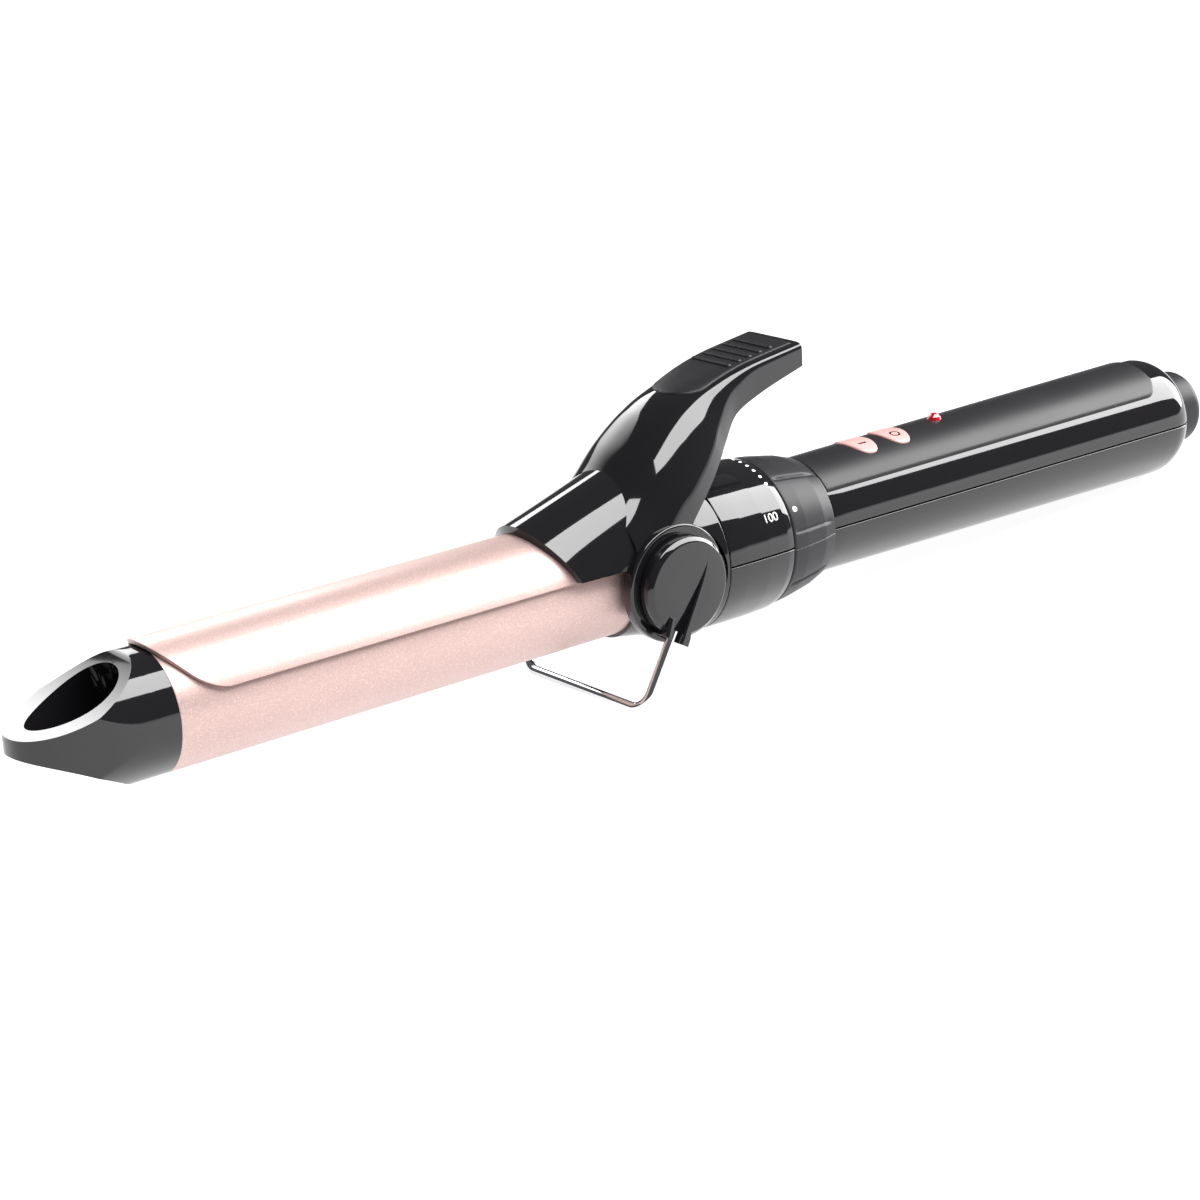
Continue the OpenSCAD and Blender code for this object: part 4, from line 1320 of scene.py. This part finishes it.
def make_shell(sizes, upper):
    """One half of the handle: the scale housing, the neck and the grip, parted at a seam."""
    wall = sizes.wall / MM
    outline = shell_outline(sizes)
    dense = []
    for (x0, r0), (x1, r1) in zip(outline, outline[1:]):
        parts = max(1, int(math.hypot(x1 - x0, r1 - r0) / 4))
        dense += [(x0 + (x1 - x0) * k / parts, r0 + (r1 - r0) * k / parts) for k in range(parts)]
    dense.append(outline[-1])
    seam, seam_depth, seam_r = 0.15, 0.9, 0.3
    columns = 96
    rings = []
    for x, r in dense:
        gap = math.asin(seam / r)
        rounding = seam_r / r
        limit = math.pi / 2 - gap
        angles = [(-limit, r - seam_depth), (-limit, r - seam_r)]
        angles += [
            (-limit + rounding * (1 - math.cos(a)), r - seam_r + seam_r * math.sin(a))
            for a in steps_between(0.3, math.pi / 2, 5)
        ]
        middle = steps_between(-limit + rounding, limit - rounding, columns)[1:-1]
        mirror = [(-a, radius) for a, radius in reversed(angles)]
        arc = angles + [(a, r) for a in middle] + mirror
        back = [(a, r - wall) for a, _ in reversed(arc)]
        turn = 0.0 if upper else math.pi
        rings.append([
            (x, -radius * math.sin(a + turn), radius * math.cos(a + turn))
            for a, radius in arc + back
        ])
    points, faces = loft(rings, cap_pairs=True)
    name = "shell_upper" if upper else "shell_lower"
    shell = blank(name, points, faces, "gloss_black", smooth=32)
    if upper:
        cutters = [oval_cutter(button, BUTTON_GAP) for button in BUTTONS]
        cutters.append(lens_cutter())
        cut(shell, *cutters)
        settle(shell, "root", "gloss_black", "handle_shell_upper")
    else:
        cutters = [
            round_cutter(f"screw_cutter_{i}", x, SCREW_HOLE_R, -30, -grip_r(x, sizes) + SCREW_SINK)
            for i, x in enumerate(screw_places())
        ]
        cut(shell, *cutters)
        settle(shell, "root", "gloss_black", "handle_shell_lower")


def screw_places():
    """Places of the three screws along the iron."""
    points = [TO_IRON @ v.co for v in frame["nodes"]["handle_screws"].data.vertices]
    places = []
    for x in sorted(p.x for p in points):
        if not places or x > places[-1][-1] + 8:
            places.append([x])
        places[-1].append(x)
    return [(min(group) + max(group)) / 2 for group in places]


def lens_place():
    """Place of the indicator lens along the iron."""
    return (LENS_LOW.x + LENS_HIGH.x) / 2


def lens_radius():
    """Radius of the indicator lens."""
    return (LENS_HIGH.x - LENS_LOW.x) / 2


def round_cutter(name, x, r, low, high):
    """An upright round cutter at a place along the iron."""
    circle = [
        (x + r * math.cos(2 * math.pi * k / 40), r * math.sin(2 * math.pi * k / 40))
        for k in range(40)
    ]
    points, faces = prism(circle, low, high, lambda a, b, z: (a, b, z))
    return blank(name, points, faces)


def lens_cutter():
    """An upright cutter for the hole that the indicator lens stands in."""
    return round_cutter("lens_cutter", lens_place(), lens_radius(), 8, 30)


def button_oval(button, gap, number=72):
    """Outline of a button seen from above."""
    low, high = BUTTONS[button]
    x, half_l, half_w = (low.x + high.x) / 2, (high.x - low.x) / 2, high.y
    points = []
    for k in range(number):
        t = 2 * math.pi * k / number
        c, s = math.cos(t), math.sin(t)
        sign = 1 if c >= 0 else -1
        points.append((x + (half_l + gap) * sign * abs(c) ** 0.8, (half_w + gap) * s))
    return points


def oval_cutter(button, gap):
    """An upright cutter a little larger than a button."""
    points, faces = prism(button_oval(button, gap), 5, 30, lambda a, b, z: (a, b, z))
    return blank(f"{button}_cutter", points, faces)


def make_panel(sizes):
    """The soft-touch panel let into the grip's top, with a rolled edge."""
    rise, corner = sizes.panel_rise / MM, sizes.panel_corner / MM
    front_x, end_x = PANEL_LOW.x, PANEL_HIGH.x
    front_half, rear_half = 10.35, PANEL_HIGH.y + 0.3
    edge = 0.38
    fine = [0.0, 0.02, 0.07, 0.16, 0.27, edge]
    rows = [front_x + f for f in fine] + steps_between(front_x + 1, end_x - corner - 0.5, 46)
    rows += [end_x - corner + corner * math.sin(a) for a in steps_between(0, math.pi / 2, 26)]
    rows[-1] = end_x
    rows += [end_x - f for f in fine[1:]]
    rows = sorted(set(round(x, 4) for x in rows))
    rings = []
    for x in rows:
        half = front_half + (rear_half - front_half) * (x - front_x) / (end_x - front_x)
        over = max(0.0, x - (end_x - corner))
        half -= corner - math.sqrt(max(corner**2 - over**2, 0.0))
        across = [-half + f for f in fine] + steps_between(-half + 0.7, half - 0.7, 45)
        across += [half - f for f in reversed(fine)]
        ring = []
        for y in across:
            near = min(half - abs(y), x - front_x, (end_x - x) if abs(y) < half - 0.3 else 9)
            drop = rolled(near, edge, rise + 0.25)
            r = grip_r(x, sizes) + rise - drop
            ring.append((x, y, math.sqrt(r * r - y * y)))
        under = []
        for px, py, _ in reversed(ring):
            r = grip_r(px, sizes) - 0.9
            under.append((px, py, math.sqrt(r * r - py * py)))
        rings.append(ring + under)
    points, faces = loft(rings, cap_pairs=True)
    panel = blank("soft_panel", points, faces, "soft_black", smooth=50)
    cutters = [oval_cutter(button, BUTTON_GAP) for button in BUTTONS]
    cutters.append(lens_cutter())
    cut(panel, *cutters)
    settle(panel, "root", "soft_black", "top_panel")


def make_button(sizes, button, body):
    """An oval button whose top follows the grip's curve, with a rolled edge."""
    low, high = BUTTONS[button]
    crown = grip_r((low.x + high.x) / 2, sizes) + sizes.panel_rise / MM + 0.32
    oval = button_oval(button, 0.0)
    middle = (low.x + high.x) / 2
    rings = []
    for share in [0.02, 0.2, 0.4, 0.6, 0.8, 0.9, 0.95, 0.975, 0.99, 1.0]:
        ring = []
        for x, y in oval:
            px, py = middle + (x - middle) * share, y * share
            drop = rolled((1 - share) * 4, 0.4, 0.45)
            ring.append((px, py, math.sqrt(crown**2 - py**2) - drop))
        rings.append(ring)
    rings.append([(x, y, low.z + 0.9) for x, y in oval])
    points, faces = loft(rings)
    size = len(oval)
    faces.append(tuple(range(size)))
    faces.append(tuple(range(len(points) - 1, len(points) - 1 - size, -1)))
    made = blank(f"{button}_cap", points, faces, button, smooth=50)
    settle(made, body, "pink_plastic", button)


def make_lens():
    """The indicator: a small faceted red dome."""
    x, r = lens_place(), lens_radius()
    base, crown = LENS_HIGH.z - r, LENS_HIGH.z
    facets = 10
    levels = [(r * 0.98, LENS_LOW.z), (r * 0.98, base + 0.2), (r * 0.82, base + r * 0.62),
              (r * 0.45, crown - 0.04)]
    rings = [
        [
            (
                x + radius * math.cos(2 * math.pi * (k + 0.5 * i) / facets),
                radius * math.sin(2 * math.pi * (k + 0.5 * i) / facets),
                z,
            )
            for k in range(facets)
        ]
        for i, (radius, z) in enumerate(levels)
    ]
    points, faces = loft(rings)
    faces.append(tuple(range(facets)))
    faces.append(tuple(range(len(points) - 1, len(points) - 1 - facets, -1)))
    lens = blank("indicator_lens", points, faces, "red_lens", smooth=5)
    bevel(lens, 0.05, angle=10, segments=1)
    settle(lens, "root", "red_lens", "led_lens")


def make_dial(sizes):
    """The dial ring: tapered, with grip grooves and a fine mould line."""
    front_r = DIAL_HIGH.y
    rear_r = sizes.dial_rear_r / MM
    neck = sizes.neck_r / MM + 0.1
    x0, x1 = DIAL_LOW.x, DIAL_HIGH.x
    run = x1 - x0
    corners = [
        (x0, neck, 0), (x0, front_r, 0.55), (x0 + run * 0.3, front_r - 0.45, 4),
        (x0 + run * 0.72, (front_r + rear_r) / 2 - 0.1, 4), (x1, rear_r, 0.6), (x1, neck, 0),
    ]
    outline = filleted(corners, 8)
    dense = []
    for (xa, ra), (xb, rb) in zip(outline, outline[1:]):
        parts = max(1, int(math.hypot(xb - xa, rb - ra) / 0.6))
        dense += [(xa + (xb - xa) * k / parts, ra + (rb - ra) * k / parts) for k in range(parts)]
    dense.append(outline[-1])
    grooves, first = sizes.dial_grooves, math.radians(34)
    pitch = 2 * math.pi / grooves
    mould = math.radians(92)

    def wave(x, r, angle):
        if r < rear_r - 0.8:
            return 0.0
        fade = min(1.0, max(0.0, (x - x0 - 0.5) / 1.2), max(0.0, (x1 - 1.0 - x) / 1.6))
        near = abs((angle - first + pitch / 2) % pitch - pitch / 2) * r
        groove = 0.38 * math.exp(-((near / 0.42) ** 2)) * fade
        line = abs((angle - mould + math.pi / 2) % math.pi - math.pi / 2) * r
        return groove + 0.22 * math.exp(-((line / 0.16) ** 2))

    points, faces = turned(ring_of(dense), steps=720, wave=wave)
    ring = blank("dial", points, faces, "satin_black", smooth=50)
    settle(ring, "dial", "satin_black", "dial_ring")


def surface_patch(x, angle, r, du, dv):
    """A point on a cylinder about the barrel's axis, du along it and dv round it."""
    a = angle + dv / r
    return (x + du, -r * math.sin(a), r * math.cos(a))


def printed_dot(name, x, angle, surface_r, dot_r):
    """A thin printed disc on a round surface."""
    sides, lift = 28, 0.035
    rings = []
    for share, height in ((0.02, lift), (0.7, lift), (1.0, lift * 0.4), (1.0, -0.12)):
        rings.append([
            surface_patch(
                x, angle, surface_r + height,
                dot_r * share * math.cos(2 * math.pi * k / sides),
                dot_r * share * math.sin(2 * math.pi * k / sides),
            )
            for k in range(sides)
        ])
    points, faces = loft(rings)
    faces.append(tuple(range(sides)))
    faces.append(tuple(range(len(points) - 1, len(points) - 1 - sides, -1)))
    return blank(name, points, faces, "white_print", smooth=60)


def make_scale(sizes):
    """The printed scale: a row of dots, a plain number, and the dial's own dot."""
    x = HOUSING_END_X - 1.9
    first = math.radians(37)
    r = HOUSING_R - 0.21
    dots = printed_dot("scale_dots", x, first, r, sizes.dot_r / MM)
    repeated(
        dots, Count=sizes.scale_dots, Turn=-sizes.dot_step, Axis=ALONG, Centre=PIVOT,
        Finish=MATERIALS["white_print"],
    )
    number = bpy.data.curves.new("scale_number", "FONT")
    number.body = "100"
    number.size = 2.7
    number.extrude = 0.0
    lettering = bpy.data.objects.new("scale_number", number)
    bpy.context.scene.collection.objects.link(lettering)
    bpy.context.view_layer.update()
    flat = bpy.data.meshes.new_from_object(lettering.evaluated_get(
        bpy.context.evaluated_depsgraph_get()
    ))
    bpy.data.objects.remove(lettering)
    work = bmesh.new()
    work.from_mesh(flat)
    bmesh.ops.remove_doubles(work, verts=work.verts, dist=0.01)
    bmesh.ops.triangulate(work, faces=work.faces)
    bmesh.ops.subdivide_edges(
        work, edges=[e for e in work.edges if e.calc_length() > 0.8], cuts=2
    )
    angle, start = math.radians(66), HOUSING_END_X - 7.4
    points = [
        surface_patch(start, angle, HOUSING_R - 0.02, v.co.x, -v.co.y) for v in work.verts
    ]
    work.verts.index_update()
    faces = [tuple(v.index for v in f.verts) for f in work.faces]
    work.free()
    label = blank("scale_label", points, faces, "white_print", smooth=60, closed=False)
    outward = IRON @ Vector((start, 0, 0))
    if label.data.polygons and label.data.polygons[0].normal.dot(
        label.data.polygons[0].center - outward
    ) < 0:
        label.data.flip_normals()
    thick = label.modifiers.new("ink", "SOLIDIFY")
    thick.thickness = 0.08 * MM
    thick.offset = 0.0
    plain_mesh(label)
    join(dots, label)
    dots.name = "scale_print"
    settle(dots, "root", "pink_plastic")
    mark_x = DIAL_LOW.x + 2.0
    mark = printed_dot(
        "dial_dot", mark_x, math.radians(61.5), DIAL_HIGH.y - 0.17, 0.62
    )
    settle(mark, "dial", "pink_plastic")


def make_knob():
    """The swivel knob at the rear, with a rolled edge and the cord's inlet."""
    inlet = 3.5
    corners = [
        (GRIP_END_X + 0.3, 7, 0), (GRIP_END_X + 0.3, KNOB_R, 0.3), (KNOB_HIGH.x, KNOB_R, 2.4),
        (KNOB_HIGH.x, inlet, 0.8), (KNOB_HIGH.x - 12, inlet, 0), (KNOB_HIGH.x - 12, 7, 0),
    ]
    points, faces = turned(ring_of(filleted(corners, 10)), steps=144)
    knob = blank("swivel_end", points, faces, "satin_black", smooth=40)
    settle(knob, "swivel", "satin_black", "swivel_knob")


def make_screws(sizes):
    """The three screws in the lower shell, each a domed head with a crossed slot."""
    heads = []
    for i, x in enumerate(screw_places()):
        seat = SCREW_SINK - (grip_r(x, sizes) if x > GRIP_X else HOUSING_R)
        outline = filleted([(0, seat, 0), (2.1, seat, 0), (2.1, seat - 1.0, 0.5), (0, seat - 1.5, 0)])
        points, faces = [], []
        sides = 48
        for r, z in outline:
            for k in range(sides):
                a = 2 * math.pi * k / sides
                points.append((x + r * math.cos(a), r * math.sin(a), z))
        for n in range(len(outline) - 1):
            for k in range(sides):
                m = (k + 1) % sides
                faces.append((n * sides + k, n * sides + m, (n + 1) * sides + m, (n + 1) * sides + k))
        head = blank(f"screw_{i}", points, faces, "steel")
        slots = []
        for n, (half_l, half_w) in enumerate(((1.3, 0.28), (0.28, 1.3))):
            box = [(x - half_l, -half_w), (x + half_l, -half_w), (x + half_l, half_w), (x - half_l, half_w)]
            points, faces = prism(box, seat - 2, seat - 0.6, lambda a, b, z: (a, b, z))
            slots.append(blank(f"slot_{i}_{n}", points, faces))
        heads.append(cut(head, *slots))
    join(heads[0], *heads[1:])
    heads[0].name = "grip_screws"
    settle(heads[0], "root", "steel", "handle_screws")


INSIDE = {
    "heat_spreader_upper": "aluminium", "heat_spreader_lower": "aluminium",
    "ptc_heater": "ceramic", "thermal_fuse": "steel", "barrel_insulator": "ceramic",
    "heater_leads": "wire_sleeve", "pivot_pins": "steel", "lever_springs": "steel",
    "circuit_board": "board", "board_components": "component", "tact_switches": "component",
    "resistor_track": "carbon_track", "clip_rivets": "steel", "dial_wiper": "brass",
    "swivel_retainer": "steel",
}


def finish_inside():
    """Gives the parts inside their own finishes."""
    for node, finish in INSIDE.items():
        mesh = frame["nodes"][node].data
        mesh.materials.clear()
        mesh.materials.append(MATERIALS[finish])


# ---------------------------------------------------------------- stage

VIEW_FROM = (-373.6, -466.9, 189.6)
VIEW_ALONG = (0.58595, 0.74780, -0.31218)
VIEW_RIGHT = (0.77579, -0.62897, -0.05051)
LENS_MM = 90.0


def turn_to_row(direction):
    """Turns a direction from the iron's frame to the row's."""
    x, y, z = direction
    return (ALONG * x + ACROSS * y + UP * z).normalized()


def make_camera():
    """The camera, on the near side of the tip and a little above."""
    camera = bpy.data.objects.new("camera", bpy.data.cameras.new("camera"))
    bpy.context.scene.collection.objects.link(camera)
    ahead, right = turn_to_row(VIEW_ALONG), turn_to_row(VIEW_RIGHT)
    up = right.cross(ahead)
    turn = Matrix((right, up, -ahead)).transposed().to_4x4()
    camera.matrix_world = Matrix.Translation(IRON @ Vector(VIEW_FROM)) @ turn
    camera.data.lens = LENS_MM
    camera.data.sensor_width = 36.0
    camera.data.clip_start = 0.05
    bpy.context.scene.camera = camera


def mirror_direction(angle):
    """Where the camera sees light from in the barrel's surface at an angle from its top."""
    normal = Vector((0, -math.sin(angle), math.cos(angle)))
    to_camera = -Vector(VIEW_ALONG)
    return turn_to_row(2 * normal.dot(to_camera) * normal - to_camera)


def soft_box(name, low, high, far, long_side, radiance, start):
    """A long soft box that shows in the barrel between two angles from its top."""
    middle = mirror_direction(math.radians((low + high) / 2))
    spread = mirror_direction(math.radians(low)).angle(mirror_direction(math.radians(high)))
    light = bpy.data.lights.new(name, "AREA")
    light.shape = "RECTANGLE"
    light.size = long_side
    light.size_y = 2 * far * math.tan(spread / 2)
    light.energy = radiance * math.pi * light.size * light.size_y
    made = bpy.data.objects.new(name, light)
    bpy.context.scene.collection.objects.link(made)
    side = (ALONG - middle * ALONG.dot(middle)).normalized()
    turn = Matrix((side, middle.cross(side), middle)).transposed().to_4x4()
    made.matrix_world = Matrix.Translation(start + middle * far) @ turn


def rim_box():
    """A small soft box behind the tip that lights the rim round its hollow."""
    light = bpy.data.lights.new("rim_box", "AREA")
    light.shape = "RECTANGLE"
    radiance, distance = 0.85, 0.30
    light.size, light.size_y = 0.31, 0.12
    light.energy = radiance * math.pi * light.size * light.size_y
    light.spread = math.radians(62)
    made = bpy.data.objects.new("rim_box", light)
    bpy.context.scene.collection.objects.link(made)
    aim = turn_to_row((0.24, 0.777, 0.582))
    long_side = turn_to_row((0.90, 0, -0.437))
    side = (long_side - aim * long_side.dot(aim)).normalized()
    turn = Matrix((side, aim.cross(side), aim)).transposed().to_4x4()
    centre = IRON @ Vector(((TIP_LOW.x + BARREL_LOW.x) / 2, 0, 7))
    made.matrix_world = Matrix.Translation(centre + aim * distance) @ turn


def make_stage(colours):
    """Floor, light and the plain pale surroundings."""
    bpy.context.scene.view_settings.view_transform = "Standard"
    half, glow = 6.0, 0.97
    mesh = bpy.data.meshes.new("floor")
    mesh.from_pydata(
        [(-half, -half, 0), (half, -half, 0), (half, half, 0), (-half, half, 0)],
        [], [(0, 1, 2, 3)],
    )
    mesh.materials.append(floor_paper(colours.floor, glow))
    floor = bpy.data.objects.new("floor", mesh)
    bpy.context.scene.collection.objects.link(floor)
    world = bpy.data.worlds.new("studio")
    world.use_nodes = True
    sky = world.node_tree.nodes["Background"]
    sky.inputs["Color"].default_value = (0.92, 0.92, 0.95, 1.0)
    sky.inputs["Strength"].default_value = 0.12
    bpy.context.scene.world = world
    soft_box("key_box", 38, 55, 0.9, 2.2, 11.0, Vector((-0.22, 0, 0.03)))
    rim_box()


# ---------------------------------------------------------------- operators


class BuildFinishes(bpy.types.Operator):
    """Makes the finishes and gives the parts inside theirs"""

    bl_idname = "curling_iron.finishes"
    bl_label = "Finishes"

    def execute(self, context):
        make_finishes(context.scene.iron_colours)
        finish_inside()
        return {"FINISHED"}


class BuildStage(bpy.types.Operator):
    """Makes the camera, the floor and the lights"""

    bl_idname = "curling_iron.stage"
    bl_label = "Stage"

    def execute(self, context):
        make_camera()
        make_stage(context.scene.iron_colours)
        return {"FINISHED"}


class BuildBarrel(bpy.types.Operator):
    """Builds the barrel tube"""

    bl_idname = "curling_iron.barrel"
    bl_label = "Barrel"

    def execute(self, context):
        make_barrel()
        return {"FINISHED"}


class BuildBlade(bpy.types.Operator):
    """Builds the clip blade"""

    bl_idname = "curling_iron.blade"
    bl_label = "Clip blade"

    def execute(self, context):
        make_blade(context.scene.iron_barrel)
        return {"FINISHED"}


class BuildTip(bpy.types.Operator):
    """Builds the hollow tip cap"""

    bl_idname = "curling_iron.tip"
    bl_label = "Tip cap"

    def execute(self, context):
        make_tip(context.scene.iron_barrel)
        return {"FINISHED"}


class BuildLever(bpy.types.Operator):
    """Builds the clip lever"""

    bl_idname = "curling_iron.lever"
    bl_label = "Lever"

    def execute(self, context):
        make_lever(context.scene.iron_lever)
        return {"FINISHED"}


class BuildThumbPad(bpy.types.Operator):
    """Builds the thumb pad's inlay and ribs"""

    bl_idname = "curling_iron.thumb_pad"
    bl_label = "Thumb pad"

    def execute(self, context):
        make_thumb_pad(context.scene.iron_lever)
        return {"FINISHED"}


class BuildStand(bpy.types.Operator):
    """Builds the wire stand and its two hubs"""

    bl_idname = "curling_iron.stand"
    bl_label = "Stand"

    def execute(self, context):
        sizes = context.scene.iron_stand
        make_stand(sizes)
        make_hub(sizes, -1, "hub_near", "stand_hub_near")
        make_hub(sizes, 1, "hub_far", "stand_hub_far")
        return {"FINISHED"}


class BuildCollar(bpy.types.Operator):
    """Builds the front collar"""

    bl_idname = "curling_iron.collar"
    bl_label = "Front collar"

    def execute(self, context):
        make_collar(context.scene.iron_handle)
        return {"FINISHED"}


class BuildShells(bpy.types.Operator):
    """Builds the two handle shells and their screws"""

    bl_idname = "curling_iron.shells"
    bl_label = "Handle shells"

    def execute(self, context):
        sizes = context.scene.iron_handle
        make_shell(sizes, upper=True)
        make_shell(sizes, upper=False)
        make_screws(sizes)
        return {"FINISHED"}


class BuildPanel(bpy.types.Operator):
    """Builds the soft-touch panel"""

    bl_idname = "curling_iron.panel"
    bl_label = "Top panel"

    def execute(self, context):
        make_panel(context.scene.iron_handle)
        return {"FINISHED"}


class BuildButtons(bpy.types.Operator):
    """Builds the two buttons and the indicator lens"""

    bl_idname = "curling_iron.buttons"
    bl_label = "Buttons and lens"

    def execute(self, context):
        sizes = context.scene.iron_handle
        make_button(sizes, "button_on", "on_button")
        make_button(sizes, "button_off", "off_button")
        make_lens()
        return {"FINISHED"}


class BuildDial(bpy.types.Operator):
    """Builds the temperature dial and its printed scale"""

    bl_idname = "curling_iron.dial"
    bl_label = "Dial and scale"

    def execute(self, context):
        sizes = context.scene.iron_handle
        make_dial(sizes)
        make_scale(sizes)
        return {"FINISHED"}


class BuildKnob(bpy.types.Operator):
    """Builds the swivel knob"""

    bl_idname = "curling_iron.knob"
    bl_label = "Swivel knob"

    def execute(self, context):
        make_knob()
        return {"FINISHED"}


STEPS = (
    BuildStage, BuildFinishes, BuildBarrel, BuildBlade, BuildTip, BuildLever, BuildThumbPad,
    BuildStand, BuildCollar, BuildShells, BuildPanel, BuildButtons, BuildDial, BuildKnob,
)
GROUPS = {
    "iron_barrel": BarrelSizes,
    "iron_lever": LeverSizes,
    "iron_handle": HandleSizes,
    "iron_stand": StandSizes,
    "iron_colours": Colours,
}


class IronPanel(bpy.types.Panel):
    """Lists the build steps and the sizes and colours they use"""

    bl_idname = "VIEW3D_PT_curling_iron"
    bl_label = "Curling iron"
    bl_space_type = "VIEW_3D"
    bl_region_type = "UI"
    bl_category = "Curling iron"

    def draw(self, context):
        for step in STEPS:
            self.layout.operator(step.bl_idname)
        for name, group in GROUPS.items():
            box = self.layout.box()
            box.label(text=group.__doc__)
            for key in group.__annotations__:
                box.prop(getattr(context.scene, name), key)


def register():
    """Registers the property groups, the operators and the panel."""
    for name, group in GROUPS.items():
        bpy.utils.register_class(group)
        setattr(bpy.types.Scene, name, bpy.props.PointerProperty(type=group))
    for step in STEPS:
        bpy.utils.register_class(step)
    bpy.utils.register_class(IronPanel)


def unregister():
    """Removes everything that register() adds."""
    bpy.utils.unregister_class(IronPanel)
    for step in reversed(STEPS):
        bpy.utils.unregister_class(step)
    for name, group in GROUPS.items():
        delattr(bpy.types.Scene, name)
        bpy.utils.unregister_class(group)


def main():
    """Registers the classes and builds the whole iron."""
    register()
    for step in STEPS:
        family, action = step.bl_idname.split(".")
        getattr(getattr(bpy.ops, family), action)()


if __name__ == "__main__":
    main()
